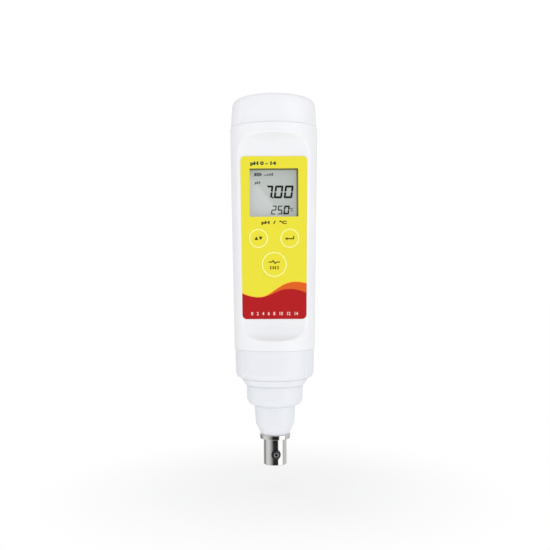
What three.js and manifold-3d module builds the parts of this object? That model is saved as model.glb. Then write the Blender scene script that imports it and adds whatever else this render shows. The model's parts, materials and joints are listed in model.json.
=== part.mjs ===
// Pocket pH tester: a tapered round barrel with a flat keypad face, a screw-on battery cap,
// and a BNC probe adapter held to the barrel by a threaded union collar.
// Millimetres, +Z up along the long axis, the keypad face looks along -Y (the front).
// The origin is on the long axis at the front face of the BNC jack, the lowest point of the part.
import * as THREE from 'three';
import { mergeVertices } from 'three/addons/utils/BufferGeometryUtils.js';
import Module from 'manifold-3d';

const wasm = await Module();
wasm.setup();

// ---------------------------------------------------------------- driving dimensions
const SEG = 30;                 // facets round the large shells
const SEG_SMALL = 14;           // facets round small parts

const TOP_Z = 155.2;            // crown of the battery cap
const CAP_SEAM_Z = 141.3;       // barrel's upper end
const COLLAR_SEAM_Z = 48.9;     // barrel's lower shoulder
const CROWN_R = 5.0;            // flat on the crown of the cap
const BARREL_TOP_R = 18.45;
const BARREL_BOTTOM_R = 16.9;
const WALL = 2.0;
const CAVITY_Z0 = 52.0, CAVITY_Z1 = 136.5;

const FLAT_Y = -10.8;           // plane of the flat face
const FLAT_INNER_Y = -8.8;      // inside of the flat wall
const FLAT_Z0 = 60.8, FLAT_Z1 = 129.0;
const SCOOP_R = 8.0;            // concave run-out at each end of the flat
const CUT_Y0 = -12, CUT_Y1 = -8; // reach of the cutters that pierce the flat wall

const FILM_FRONT_Y = FLAT_Y - 0.25;
const WINDOW_W = 20.0, WINDOW_H = 19.8, WINDOW_Z = 113.6;
const PANE_W = 23.2, PANE_H = 23.0;      // clear window
const REBATE_PLAY = 0.4;                 // rebate size over the pane size
const LCD_HALF_W = 12.0, LCD_HALF_H = 11.6;
const LCD_FRONT_Y = -8.7, LCD_BACK_Y = -7.1;

const SMALL_KEY_X = 6.42;
const SMALL_KEY = { z: 94.8, radius: 3.98, clearance: 0.27, segments: 22 };
const KEYS = [
  { name: 'cal', x: -SMALL_KEY_X, ...SMALL_KEY },
  { name: 'enter', x: SMALL_KEY_X, ...SMALL_KEY },
  { name: 'meas', x: 0, z: 84.1, radius: 5.2, clearance: 0.25, segments: 26 },
];

const BOARD_FRONT_Y = -5.0, BOARD_BACK_Y = -4.0;
const SCREW_X = 10.9;
const SCREWS = [[-SCREW_X, 61.8], [-SCREW_X, 98.8], [SCREW_X, 61.8], [SCREW_X, 98.8]]; // x, z

// Both threads are right-handed. root and crest are the male radii, bore and tip the female.
// phase is the female ridge's axial offset from the male ridge at the same angle.
const LEAD = 3.0;
const CAP_THREAD = {
  root: 14.65, crest: 15.45, bore: 15.75, tip: 15.08, maleWidth: 1.3,
  maleZ0: 143.9, maleZ1: 148.3, femaleZ0: 144.4, femaleZ1: 148.9, phase: -1.2,
};
const COLLAR_THREAD = {
  root: 13.75, crest: 14.5, bore: 14.85, tip: 14.2, maleWidth: 1.25,
  maleZ0: 42.4, maleZ1: 47.6, femaleZ0: 42.5, femaleZ1: 47.8, phase: -1.8,
};
const THREAD_EMBED = 0.25;      // depth of a ridge's foot inside its wall
const RIDGE_TIP_WIDTH = 0.7, FEMALE_WIDTH = 1.3;

const PEG_XS = [-10, 10];       // pegs that key the contact disc to the battery neck
const BNC_R = 4.83, BNC_LENGTH = 10.6, BNC_FLANGE_R = 6.42;
const LUG_Z = 4.65;
const JACK_TURN = THREE.MathUtils.degToRad(4.5); // lugs turned about Z from the front and back

// ---------------------------------------------------------------- materials
const material = (options) => new THREE.MeshStandardMaterial(options);
const metal = (options) => material({ metalness: 1, ...options });
const white = material({ color: 0xf0f1f4, roughness: 0.32 });
const whiteInner = material({ color: 0xe6e8ea, roughness: 0.5 });
const yellow = material({ color: 0xe8e038, roughness: 0.35 });
const clear = material({ color: 0xf4f8f8, roughness: 0.05, transparent: true, opacity: 0.3 });
const lcdGrey = material({ color: 0xc2c6c2, roughness: 0.25 });
const black = material({ color: 0x202224, roughness: 0.7 });
const rubber = material({ color: 0x2a2a2c, roughness: 0.9 });
const silicone = material({ color: 0xd8d8d4, roughness: 0.8 });
const greenBoard = material({ color: 0x1f6b3a, roughness: 0.5 });
const steel = metal({ color: 0xb9bcc0, roughness: 0.3 });
const nickel = metal({ color: 0xc9c9c9, roughness: 0.15 });
const gold = metal({ color: 0xd8b35a, roughness: 0.25 });
const ptfe = material({ color: 0xf4f4f0, roughness: 0.6 });
const redWire = material({ color: 0xb02a2a, roughness: 0.6 });
const blackWire = material({ color: 0x1c1c1e, roughness: 0.6 });

// signal, then ground: pin place on the Y axis and the bend and end of its wire in the barrel
const PIN_Y = 6.2;
const PINS = [
  { y: PIN_Y, bendY: 0.4, boardX: -2.4, colour: redWire },
  { y: -PIN_Y, bendY: -5.2, boardX: 2.4, colour: blackWire },
];

// ---------------------------------------------------------------- geometry helpers
// a manifold from a closed geometry: vertices welded, slivers dropped, faces turned outward
function solid(geometry) {
  const bare = new THREE.BufferGeometry()
    .setAttribute('position', geometry.getAttribute('position'))
    .setIndex(geometry.index);
  const welded = mergeVertices(bare, 1e-4);
  const corners = welded.index.array;
  const triangles = [];
  for (let i = 0; i < corners.length; i += 3) {
    const [a, b, c] = corners.slice(i, i + 3);
    if (a !== b && b !== c && a !== c) triangles.push(a, b, c);
  }
  const build = () => new wasm.Manifold(new wasm.Mesh({
    numProp: 3,
    vertProperties: new Float32Array(welded.attributes.position.array),
    triVerts: new Uint32Array(triangles),
  }));
  const body = build();
  if (body.volume() >= 0) return body;
  for (let i = 0; i < triangles.length; i += 3) {
    [triangles[i + 1], triangles[i + 2]] = [triangles[i + 2], triangles[i + 1]];
  }
  return build();
}

function geometryOf(body) {
  const mesh = body.getMesh();
  const geometry = new THREE.BufferGeometry()
    .setAttribute('position', new THREE.BufferAttribute(new Float32Array(mesh.vertProperties), 3))
    .setIndex(new THREE.BufferAttribute(new Uint32Array(mesh.triVerts), 1));
  geometry.computeVertexNormals();
  return geometry;
}

const vectors = (points) => points.map(([x, y]) => new THREE.Vector2(x, y));
const polar = (radius, angle) => [radius * Math.cos(angle), radius * Math.sin(angle)];

// profile is a list of [radius, z], turned about a line parallel to Z
const lathe = (profile, segments = SEG, { x = 0, y = 0, turn = 0 } = {}) =>
  solid(new THREE.LatheGeometry(vectors(profile), segments)
    .rotateX(Math.PI / 2).rotateZ(turn).translate(x, y, 0));
const ring = (profile, segments, place) => lathe([...profile, profile[0]], segments, place);
const tube = (r0, r1, z0, z1, segments) =>
  ring([[r0, z0], [r1, z0], [r1, z1], [r0, z1]], segments);
const rod = (radius, z0, z1, segments, place) =>
  lathe([[0, z0], [radius, z0], [radius, z1], [0, z1]], segments, place);
// a rod lying along Y
const rodY = (radius, x, z, y0, y1, segments = SEG_SMALL) =>
  solid(new THREE.CylinderGeometry(radius, radius, y1 - y0, segments)
    .translate(x, (y0 + y1) / 2, z));
const box = (halfWidth, y0, y1, z0, z1, x = 0) =>
  solid(new THREE.BoxGeometry(2 * halfWidth, y1 - y0, z1 - z0)
    .translate(x, (y0 + y1) / 2, (z0 + z1) / 2));
const oRing = (radius, z, segments) =>
  solid(new THREE.TorusGeometry(radius, 0.72, 5, segments).translate(0, 0, z));

function extrude(points, settings) {
  const shape = new THREE.Shape(vectors(points));
  shape.closePath();
  return new THREE.ExtrudeGeometry(shape, { bevelEnabled: false, ...settings });
}

// a plate facing Y: half-widths half0 at z0 and half1 at z1, each corner rounded by a
// quadratic curve that starts and ends `round` away from it
function plate(half0, half1, z0, z1, round, y0, y1) {
  const steps = 5;
  const corners = [[-half0, z0], [half0, z0], [half1, z1], [-half1, z1]];
  const points = [];
  corners.forEach((corner, i) => {
    const toward = (other) => {
      const t = round / Math.hypot(other[0] - corner[0], other[1] - corner[1]);
      return corner.map((value, axis) => value + (other[axis] - value) * t);
    };
    const start = toward(corners[(i + 3) % 4]);
    const end = toward(corners[(i + 1) % 4]);
    for (let k = 0; k <= steps; k++) {
      const t = k / steps;
      points.push(corner.map((value, axis) =>
        (1 - t) ** 2 * start[axis] + 2 * t * (1 - t) * value + t * t * end[axis]));
    }
  });
  return solid(extrude(points, { depth: y1 - y0 }).rotateX(Math.PI / 2).translate(0, y1, 0));
}
const rectPlate = (width, height, z, round, y0, y1) =>
  plate(width / 2, width / 2, z - height / 2, z + height / 2, round, y0, y1);

// adds two grip pads, on the +X and -X sides: ring sectors trimmed by a turned limit profile
function addGripPads(body, { r0, r1, halfAngle, z0, z1, limit }) {
  const steps = 8;
  for (const middle of [0, 180]) {
    const angle = (i) =>
      THREE.MathUtils.degToRad(middle - halfAngle + 2 * halfAngle * i / steps);
    const points = [];
    for (let i = 0; i <= steps; i++) points.push(polar(r1, angle(i)));
    for (let i = steps; i >= 0; i--) points.push(polar(r0, angle(i)));
    const pad = solid(extrude(points, { depth: z1 - z0 }).translate(0, 0, z0));
    body = body.add(pad.intersect(lathe(limit)));
  }
  return body;
}

// a right-handed helical ridge; z0 and z1 are the ends of its middle line
function helix({ baseR, tipR, z0, z1, baseWidth, startAngle = 0 }) {
  const stepsPerTurn = 20;
  const endHeight = 0.12;       // share of full height left at the very ends
  const fadePerTurn = 3;        // how fast the height grows away from an end
  const turns = (z1 - z0) / LEAD;
  const steps = Math.round(turns * stepsPerTurn);
  const positions = [], index = [];
  for (let i = 0; i <= steps; i++) {
    const t = i / steps;
    const angle = startAngle + t * turns * 2 * Math.PI;
    const z = z0 + (z1 - z0) * t;
    const fade = Math.min(1, endHeight + fadePerTurn * Math.min(t, 1 - t) * turns);
    const crestR = baseR + (tipR - baseR) * fade;
    const crestWidth = RIDGE_TIP_WIDTH + (baseWidth - RIDGE_TIP_WIDTH) * (1 - fade);
    const section = [
      [baseR, -baseWidth / 2], [crestR, -crestWidth / 2],
      [crestR, crestWidth / 2], [baseR, baseWidth / 2],
    ];
    for (const [radius, dz] of section) positions.push(...polar(radius, angle), z + dz);
  }
  for (let i = 0; i < steps; i++) {
    for (let k = 0; k < 4; k++) {
      const a = i * 4 + k;
      const b = i * 4 + (k + 1) % 4;
      index.push(a, b, a + 4, b, b + 4, a + 4);
    }
  }
  const end = steps * 4;
  index.push(0, 2, 1, 0, 3, 2, end, end + 1, end + 2, end, end + 2, end + 3);
  return solid(new THREE.BufferGeometry()
    .setAttribute('position', new THREE.Float32BufferAttribute(positions, 3))
    .setIndex(index));
}
const maleHelix = (thread) => helix({
  baseR: thread.root - THREAD_EMBED, tipR: thread.crest,
  z0: thread.maleZ0, z1: thread.maleZ1, baseWidth: thread.maleWidth,
});
const femaleHelix = (thread) => helix({
  baseR: thread.bore + THREAD_EMBED, tipR: thread.tip,
  z0: thread.femaleZ0, z1: thread.femaleZ1, baseWidth: FEMALE_WIDTH,
  startAngle: (thread.femaleZ0 - thread.maleZ0 - thread.phase) / LEAD * 2 * Math.PI,
});

// a wire along a smooth curve through [x, y, z] points
function wire(points, radius, steps = 12, sides = 6) {
  const extrudePath = new THREE.CatmullRomCurve3(points.map((p) => new THREE.Vector3(...p)));
  const section = [];
  for (let i = 0; i < sides; i++) section.push(polar(radius, i / sides * 2 * Math.PI));
  return solid(extrude(section, { steps, extrudePath }));
}

// ---------------------------------------------------------------- groups
const root = new THREE.Group();
function group(name) {
  const child = new THREE.Group();
  child.name = name;
  root.add(child);
  return child;
}
function add(parent, name, body, meshMaterial) {
  const mesh = new THREE.Mesh(geometryOf(body), meshMaterial);
  mesh.name = name;
  parent.add(mesh);
}
const barrel = group('barrel');
const capCarrier = group('cap_carrier');
const cap = group('cap');
const adapter = group('bnc_adapter');
const collar = group('collar_group');

// ---------------------------------------------------------------- barrel shell
const barrelR = (z) => BARREL_BOTTOM_R + (BARREL_TOP_R - BARREL_BOTTOM_R)
  * (z - COLLAR_SEAM_Z) / (CAP_SEAM_Z - COLLAR_SEAM_Z);
const keyHole = ({ x, z, segments }, radius) => rodY(radius, x, z, CUT_Y0, CUT_Y1, segments);

// the cutter for the flat and its two run-outs: a YZ profile extruded across X
function flatCutter() {
  const arcSteps = 10, halfWidth = 30, outerY = -30;
  const centreY = FLAT_Y - SCOOP_R;
  const lower = [], upper = [];
  for (let i = 0; i <= arcSteps; i++) {
    const [along, across] = polar(SCOOP_R, i / arcSteps * Math.PI / 2);
    lower.push([centreY + across, FLAT_Z0 - along]);
    upper.push([centreY + along, FLAT_Z1 + across]);
  }
  const outer = [[outerY, FLAT_Z1 + SCOOP_R], [outerY, FLAT_Z0 - SCOOP_R]];
  const geometry = extrude([...lower, ...upper, ...outer], { depth: 2 * halfWidth });
  // shape x, y, depth become y, z, x
  return solid(geometry.applyMatrix4(new THREE.Matrix4().set(
    0, 0, 1, -halfWidth,
    1, 0, 0, 0,
    0, 1, 0, 0,
    0, 0, 0, 1,
  )));
}

// the room inside the barrel, cut off by the flat wall
const barrelCavity = () => lathe([
  [0, CAVITY_Z0], [barrelR(CAVITY_Z0) - WALL, CAVITY_Z0],
  [barrelR(CAVITY_Z1) - WALL, CAVITY_Z1], [0, CAVITY_Z1],
]).intersect(box(30, FLAT_INNER_Y, 30, 0, 160));

// opening for the battery neck, cut off by the flat wall below its seat
function neckOpening() {
  const seatZ = 138.6;
  return lathe([
    [0, CAVITY_Z1 - 0.5], [15.6, CAVITY_Z1 - 0.5], [15.6, seatZ], [16.3, seatZ],
    [16.3, 142], [0, 142],
  ]).intersect(box(30, FLAT_INNER_Y, 30, 0, seatZ).add(box(30, -30, 30, seatZ, 143)));
}

function barrelShell() {
  const spigotR = COLLAR_THREAD.root;
  let shell = lathe([
    [0, 41.1], [spigotR - 0.3, 41.1], [spigotR, 41.5], [spigotR, COLLAR_SEAM_Z],
    [BARREL_BOTTOM_R - 0.35, COLLAR_SEAM_Z], [BARREL_BOTTOM_R, COLLAR_SEAM_Z + 0.35],
    [barrelR(95), 95], [BARREL_TOP_R, CAP_SEAM_Z - 0.3], [BARREL_TOP_R - 0.3, CAP_SEAM_Z],
    [0, CAP_SEAM_Z],
  ]);
  shell = shell.subtract(flatCutter()).subtract(barrelCavity()).subtract(neckOpening())
    .subtract(rod(12.2, 40, 53)) // bore of the lower spigot
    .add(maleHelix(COLLAR_THREAD))
    .subtract(rectPlate(WINDOW_W + 0.6, WINDOW_H + 0.6, WINDOW_Z, 0.6, CUT_Y0, CUT_Y1))
    .subtract(rectPlate(PANE_W + REBATE_PLAY, PANE_H + REBATE_PLAY, WINDOW_Z, 0.8, CUT_Y0, -9.8));
  for (const key of KEYS) shell = shell.subtract(keyHole(key, key.radius + key.clearance));
  return shell;
}

// ---------------------------------------------------------------- face and display
function faceFilm() {
  let film = plate(26.2 / 2, 27.5 / 2, 61.7, 128.5, 1.8, FILM_FRONT_Y, FLAT_Y)
    .subtract(rectPlate(WINDOW_W, WINDOW_H, WINDOW_Z, 0.35, CUT_Y0, CUT_Y1));
  for (const key of KEYS) film = film.subtract(keyHole(key, key.radius + 0.12));
  return film;
}

const lcdBlock = (play, y0, y1) =>
  box(LCD_HALF_W + play, y0, y1, WINDOW_Z - LCD_HALF_H - play, WINDOW_Z + LCD_HALF_H + play);
const lcdHolder = () =>
  rectPlate(25.4, 25.2, WINDOW_Z, 0.6, LCD_FRONT_Y, BOARD_FRONT_Y - 0.05)
    .subtract(lcdBlock(0.1, -9, -4));

function keypadSeal() {
  let seal = rectPlate(23, 23, 88.4, 1.2, -8.78, -8.2);
  for (const { x, z } of KEYS) seal = seal.subtract(rodY(1.75, x, z, CUT_Y0, CUT_Y1));
  return seal;
}

function addFace() {
  add(barrel, 'face_film', faceFilm(), yellow);
  add(barrel, 'display_window',
    rectPlate(PANE_W, PANE_H, WINDOW_Z, 0.8, FLAT_Y + 0.02, -9.85), clear);
  add(barrel, 'lcd_glass', lcdBlock(0, LCD_FRONT_Y, LCD_BACK_Y), lcdGrey);
  add(barrel, 'lcd_holder', lcdHolder(), black);
  add(barrel, 'zebra_strip', box(11, LCD_BACK_Y + 0.05, BOARD_FRONT_Y - 0.05,
    WINDOW_Z - 11.3, WINDOW_Z - 10.0), silicone);
  add(barrel, 'keypad_seal', keypadSeal(), silicone);
}

// film pad, plunger, switch stem and switch, from front to back
function addKey({ name, x, z, radius, segments }) {
  const keyGroup = group(`${name}_key`);
  const switchHalf = 2.25;
  const pad = rodY(radius, x, z, FILM_FRONT_Y, FLAT_Y - 0.01, segments);
  const plunger = rodY(radius - 0.55, x, z, FLAT_Y, -9.6, segments)
    .add(rodY(1.4, x, z, -9.7, -7.02));
  const housing = box(switchHalf, -6.5, BOARD_FRONT_Y, z - switchHalf, z + switchHalf, x)
    .subtract(rodY(1.5, x, z, -7, -5.6, 16));
  add(keyGroup, `${name}_key_pad`, pad, yellow);
  add(keyGroup, `${name}_key_plunger`, plunger, whiteInner);
  add(keyGroup, `${name}_switch_stem`, rodY(1.2, x, z, -7.0, -6.05, 16), black);
  add(barrel, `${name}_switch`, housing, steel);
}

// ---------------------------------------------------------------- electronics
function mainBoard() {
  let board = box(12.6, BOARD_FRONT_Y, BOARD_BACK_Y, 58.5, 125.2);
  for (const [x, z] of SCREWS) board = board.subtract(rodY(1.1, x, z, -6, -3, 12));
  return board;
}

// a frame behind the board with two openings and four hollow screw posts
function boardCarrier() {
  let carrier = box(13, 1.0, 2.6, 58.4, 126.4)
    .subtract(box(9, 0, 4, 66, 94))
    .subtract(box(9, 0, 4, 103, 121));
  for (const [x, z] of SCREWS) {
    carrier = carrier.add(rodY(1.9, x, z, BOARD_BACK_Y + 0.02, 1.1, 10))
      .subtract(rodY(1.0, x, z, -4.5, 0, 8));
  }
  return carrier;
}

function boardScrew([x, z]) {
  const slotLong = 1.0, slotShort = 0.16; // half-sizes of the cross slot
  const slot = (halfX, halfZ) => box(halfX, -6.2, -5.5, z - halfZ, z + halfZ, x);
  return rodY(1.5, x, z, -5.9, BOARD_FRONT_Y - 0.02, 12)
    .add(rodY(0.8, x, z, -5.1, -0.6, 8))
    .subtract(slot(slotLong, slotShort))
    .subtract(slot(slotShort, slotLong));
}

function addElectronics() {
  add(barrel, 'main_board', mainBoard(), greenBoard);
  add(barrel, 'controller_chip', box(3.5, BOARD_BACK_Y, -2.8, 84, 91), black);
  add(barrel, 'amplifier_chip', box(2.5, BOARD_BACK_Y, -2.7, 74, 78), black);
  add(barrel, 'input_shield_can', box(7, BOARD_BACK_Y, -1.4, 60, 70)
    .subtract(box(6.7, BOARD_BACK_Y - 0.1, -1.7, 60.3, 69.7)), steel);
  SCREWS.forEach((place, i) => add(barrel, `board_screw_${i + 1}`, boardScrew(place), steel));
  add(barrel, 'board_carrier', boardCarrier(), whiteInner);
}

// ---------------------------------------------------------------- battery neck and cells
function batteryNeck() {
  const { root: rootR } = CAP_THREAD;
  const topZ = 149.3;
  let neck = ring([
    [1.2, 126.9], [7.5, 126.9], [7.5, 147.5], [12.6, 147.5], [12.6, 138.7], [16.15, 138.7],
    [16.15, CAP_SEAM_Z], [rootR, CAP_SEAM_Z], [rootR, 141.9], [14.0, 141.9], [14.0, 143.4],
    [rootR, 143.4], [rootR, 148.9], [rootR - 0.4, topZ], [6.1, topZ], [6.1, 128.2], [1.2, 128.2],
  ]).add(maleHelix(CAP_THREAD));
  for (const x of PEG_XS) neck = neck.subtract(rod(1.4, 146, 151, SEG_SMALL, { x }));
  return neck;
}

const buttonCell = (z) => lathe([
  [0, z], [4.6, z], [4.9, z + 0.6], [5.75, z + 1.0], [5.75, z + 5.1], [5.5, z + 5.35],
  [0, z + 5.35],
], SEG_SMALL);

// a conical spring under the stack: two turns, narrowing upward
function batterySpring() {
  const steps = 24, turns = 2, bottomR = 4.4, taper = 1.8, bottomZ = 128.5, rise = 0.95;
  const points = [];
  for (let i = 0; i <= steps; i++) {
    const t = i / steps;
    points.push([...polar(bottomR - taper * t, t * turns * 2 * Math.PI), bottomZ + rise * t]);
  }
  return wire(points, 0.22, 32, 4);
}

function addBattery() {
  const cellCount = 4, firstCellZ = 129.75, cellPitch = 5.4;
  add(barrel, 'battery_neck', batteryNeck(), white);
  add(barrel, 'cap_o_ring', oRing(14.85, 142.65, 26), rubber);
  for (let i = 0; i < cellCount; i++) {
    add(barrel, `button_cell_${i + 1}`, buttonCell(firstCellZ + cellPitch * i), steel);
  }
  add(barrel, 'battery_spring', batterySpring(), nickel);
  add(barrel, 'negative_strip', box(0.8, -0.15, 0.15, 118, 128.25)
    .add(box(0.8, BOARD_BACK_Y + 0.02, 0.15, 118, 118.4)), nickel);
}

// ---------------------------------------------------------------- cap
// the disc is keyed by its two pegs, so it lifts with the cap but never turns
function contactDisc() {
  let disc = lathe([[0, 151.95], [11.4, 151.95], [11.4, 153.2], [0, 153.2]], 36);
  for (const x of PEG_XS) disc = disc.add(rod(1.1, 145.6, 152.2, SEG_SMALL, { x }));
  return disc;
}

// tapered skirt with two raised grip pads, rounded edge and a low crown
function batteryCap() {
  const { bore } = CAP_THREAD;
  const rimZ = 141.55;
  const body = lathe([
    [0, 153.35], [11.8, 153.35], [11.8, 151.2], [14.6, 150.4], [bore, 149.9], [bore, rimZ],
    [17.65, rimZ], [17.82, 141.75], [17.45, 147.6], [17.58, 149.4], [17.35, 151.4],
    [16.75, 152.55], [15.9, 153.3], [14.6, 153.9], [CROWN_R + 4, 154.7], [CROWN_R, TOP_Z],
    [0, TOP_Z],
  ]);
  return addGripPads(body, {
    r0: 16.4, r1: 18.9, halfAngle: 39, z0: rimZ, z1: 148.4,
    limit: [[0, 141.5], [17.98, 141.5], [18.15, 141.75], [17.68, 148.6], [0, 148.7]],
  }).subtract(rod(bore, 141, 149.85)).add(femaleHelix(CAP_THREAD));
}

function addCap() {
  add(capCarrier, 'contact_disc', contactDisc(), whiteInner);
  add(capCarrier, 'contact_plate', lathe([
    [0, 151.4], [3.0, 151.4], [3.6, 151.67], [8.2, 151.67], [8.2, 151.93], [0, 151.93],
  ], 24), nickel);
  add(cap, 'battery_cap', batteryCap(), white);
}

// ---------------------------------------------------------------- probe socket in the barrel
function addSocket() {
  let socket = rod(12.0, 47.3, 51.3);
  for (const { y } of PINS) socket = socket.subtract(rod(1.35, 47, 52, 12, { y }));
  add(barrel, 'probe_socket', socket, black);
  PINS.forEach(({ y, bendY, boardX, colour }, i) => {
    add(barrel, `socket_contact_${i + 1}`, lathe([
      [0, 50.4], [0.78, 50.4], [0.78, 47.6], [1.2, 47.6], [1.2, 52.2], [0.8, 52.6], [0, 52.6],
    ], 12, { y }), gold);
    add(barrel, `socket_wire_${i + 1}`, wire([
      [0, y, 52.75], [0, y * 0.9, 54.5], [boardX, bendY, 56.4],
      [boardX, -4.5, 57.4], [boardX, -4.5, 58.35],
    ], 0.42), colour);
  });
}

// ---------------------------------------------------------------- adapter
function addAdapterBody() {
  add(adapter, 'adapter_housing', ring([
    [9.8, 46.4], [11.9, 46.2], [11.9, 44.7], [10.45, 44.7], [10.45, 43.0], [11.9, 43.0],
    [11.9, 40.95], [13.9, 40.95], [13.9, 38.95], [11.82, 38.95], [11.82, 32.8], [11.7, 27.4],
    [11.1, 26.1], [10.0, 25.4], [8.62, 25.1], [8.05, 17.3], [7.75, 16.6], [5.9, 13.0],
    [4.9, 13.0], [4.9, 24.0], [7.4, 24.2], [9.8, 29.5],
  ]), white);
  add(adapter, 'adapter_o_ring', oRing(11.25, 43.85, 24), rubber);
  let pinPlate = rod(9.65, 44.4, 46.0, 28);
  for (const { y } of PINS) pinPlate = pinPlate.subtract(rod(0.72, 44, 47, 10, { y }));
  add(adapter, 'pin_plate', pinPlate, black);
  PINS.forEach(({ y }, i) => add(adapter, `adapter_pin_${i + 1}`, lathe([
    [0, 42.6], [0.6, 42.6], [0.6, 49.3], [0.35, 49.8], [0, 49.8],
  ], 12, { y }), gold));
}

// the jack's barrel, flange and rear tube, with seats for the two lugs
function bncShell() {
  let shell = ring([
    [4.05, 0.1], [4.15, 0], [BNC_R - 0.2, 0], [BNC_R, 0.3], [BNC_R, BNC_LENGTH - 0.4],
    [5.2, BNC_LENGTH], [6.1, BNC_LENGTH], [BNC_FLANGE_R, BNC_LENGTH + 0.45],
    [BNC_FLANGE_R, 12.15], [6.25, 12.4], [4.72, 12.4], [4.72, 28.2], [3.2, 28.2],
    [3.2, 12.6], [4.05, 12.6],
  ], 26, { turn: JACK_TURN });
  for (const side of [-1, 1]) {
    shell = shell.subtract(solid(new THREE.CylinderGeometry(1.0, 1.0, 3, SEG_SMALL)
      .translate(0, side * BNC_R, LUG_Z).rotateZ(JACK_TURN)));
  }
  return shell;
}

// a round pin along Y with a flared foot and a dimpled end; profile is [radius, y]
function bayonetLug(flip) {
  const geometry = new THREE.LatheGeometry(vectors([
    [0, 4.1], [0.95, 4.1], [0.95, 4.9], [1.85, 4.98], [1.5, 5.12], [1.25, 5.35],
    [0.98, 5.62], [0.62, 5.62], [0.5, 5.5], [0, 5.5],
  ]), SEG_SMALL);
  return solid(geometry.rotateX(flip).translate(0, 0, LUG_Z).rotateZ(JACK_TURN));
}

const jackNut = () => solid(new THREE.CylinderGeometry(7.2, 7.2, 2.4, 6)
  .rotateX(Math.PI / 2).translate(0, 0, 25.95)).subtract(rod(4.82, 24, 28, 28));

function addJack() {
  add(adapter, 'bnc_shell', bncShell(), nickel);
  add(adapter, 'bayonet_lug_front', bayonetLug(Math.PI), nickel);
  add(adapter, 'bayonet_lug_rear', bayonetLug(0), nickel);
  add(adapter, 'bnc_insulator', ring([
    [0.95, 0.8], [2.4, 0.8], [2.4, 9.2], [3.95, 9.2], [3.95, 12.4], [3.1, 12.4],
    [3.1, 27.6], [0.95, 27.6],
  ], 18), ptfe);
  add(adapter, 'centre_contact', lathe([
    [0, 8.0], [0.36, 8.0], [0.36, 1.1], [0.62, 1.1], [0.72, 1.3], [0.72, 30.0], [0, 30.0],
  ], 12), gold);
  add(adapter, 'flange_gasket', tube(4.95, 6.15, 12.42, 12.98, 24), rubber);
  add(adapter, 'lock_washer', tube(4.85, 6.6, 24.3, 24.7, 24), steel);
  add(adapter, 'jack_nut', jackNut(), steel);
  add(adapter, 'signal_wire', wire([
    [0, 0, 30.15], [0.1, 0.8, 32.5], [0.3, 4.6, 36.5], [0, PIN_Y, 40.5], [0, PIN_Y, 42.45],
  ], 0.4), redWire);
  add(adapter, 'ground_wire', wire([
    [-3.9, -0.4, 28.45], [-5.2, -0.8, 31], [-3.6, -3.8, 35.5],
    [0, -PIN_Y, 40.5], [0, -PIN_Y, 42.45],
  ], 0.4), blackWire);
}

// ---------------------------------------------------------------- union collar
function unionCollar() {
  const { bore } = COLLAR_THREAD;
  const topZ = 48.6;
  const body = ring([
    [12.2, 33.75], [12.45, 33.75], [14.1, 36.35], [14.1, 36.55], [14.75, 36.9],
    [15.35, 37.5], [15.85, 38.5], [16.0, 39.6], [16.25, 48.35], [16.0, topZ],
    [bore, topZ], [bore, 41.6], [14.3, 41.0], [14.3, 38.75], [12.2, 38.75],
  ]);
  return addGripPads(body, {
    r0: 14.95, r1: 17.4, halfAngle: 37, z0: 37.2, z1: topZ,
    limit: [
      [0, 37.2], [15.6, 37.2], [16.2, 38.2], [16.35, 39.2], [16.62, 48.35], [16.4, topZ],
      [0, topZ],
    ],
  }).add(femaleHelix(COLLAR_THREAD));
}

add(barrel, 'barrel_shell', barrelShell(), white);
addFace();
KEYS.forEach(addKey);
addElectronics();
addBattery();
addCap();
addSocket();
addAdapterBody();
addJack();
add(collar, 'union_collar', unionCollar(), white);

export default root;
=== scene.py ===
"""A pocket pH tester standing upright along +Z, its display and keys looking along -Y.

From the bottom: bayonet probe jack, adapter housing, union collar, barrel, battery cap.
Shapes are in millimetres and become metres in new_mesh; the stage is in metres.
"""
import json
import math

import bpy
import bmesh
import numpy as np
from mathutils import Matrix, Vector
from mathutils.geometry import delaunay_2d_cdt


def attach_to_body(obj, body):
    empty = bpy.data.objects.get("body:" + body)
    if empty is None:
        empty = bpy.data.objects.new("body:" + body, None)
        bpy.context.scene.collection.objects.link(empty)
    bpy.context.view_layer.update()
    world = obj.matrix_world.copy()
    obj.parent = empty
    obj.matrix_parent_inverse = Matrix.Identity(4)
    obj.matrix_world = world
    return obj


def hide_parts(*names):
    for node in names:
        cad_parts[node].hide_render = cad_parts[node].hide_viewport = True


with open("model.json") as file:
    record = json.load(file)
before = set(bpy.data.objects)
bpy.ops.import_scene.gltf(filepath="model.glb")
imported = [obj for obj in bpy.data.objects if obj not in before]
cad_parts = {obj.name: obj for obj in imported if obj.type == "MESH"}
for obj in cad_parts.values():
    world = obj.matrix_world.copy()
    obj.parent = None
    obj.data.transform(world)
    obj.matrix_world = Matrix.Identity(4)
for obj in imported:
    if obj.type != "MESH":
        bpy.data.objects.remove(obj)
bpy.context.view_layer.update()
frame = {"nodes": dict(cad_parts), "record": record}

MM = 0.001
SHARP = 34               # degrees; edges that turn more stay crisp
QUARTER = [math.pi / 2 * i / 4 for i in range(1, 5)]   # steps round a quarter arc

# Datums shared by several pieces
FLAT_Y = -10.8           # the barrel's flat
FILM_Y = -11.05          # front of the film on it
BARREL_LOW, BARREL_HIGH = 48.9, 141.3
LEAD = 3.0               # both screw threads
PROBE_THREAD = 42.4      # start of the barrel's thread
CAP_THREAD = 143.9       # start of the battery neck's thread
PEG_X = 10.0             # cap guide pegs, left and right of the axis
PINS = [(0, 6.2), (0, -6.2)]   # probe pins, x and y
JACK_RADIUS = 4.83
KEY_GAP = 0.025          # between a key and the film round it
# key: x, z, radius, radius of its opening in the barrel
KEYS = {
    "cal": (-6.42, 94.8, 3.98, 4.25),
    "enter": (6.42, 94.8, 3.98, 4.25),
    "meas": (0.0, 84.1, 5.2, 5.45),
}


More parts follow.
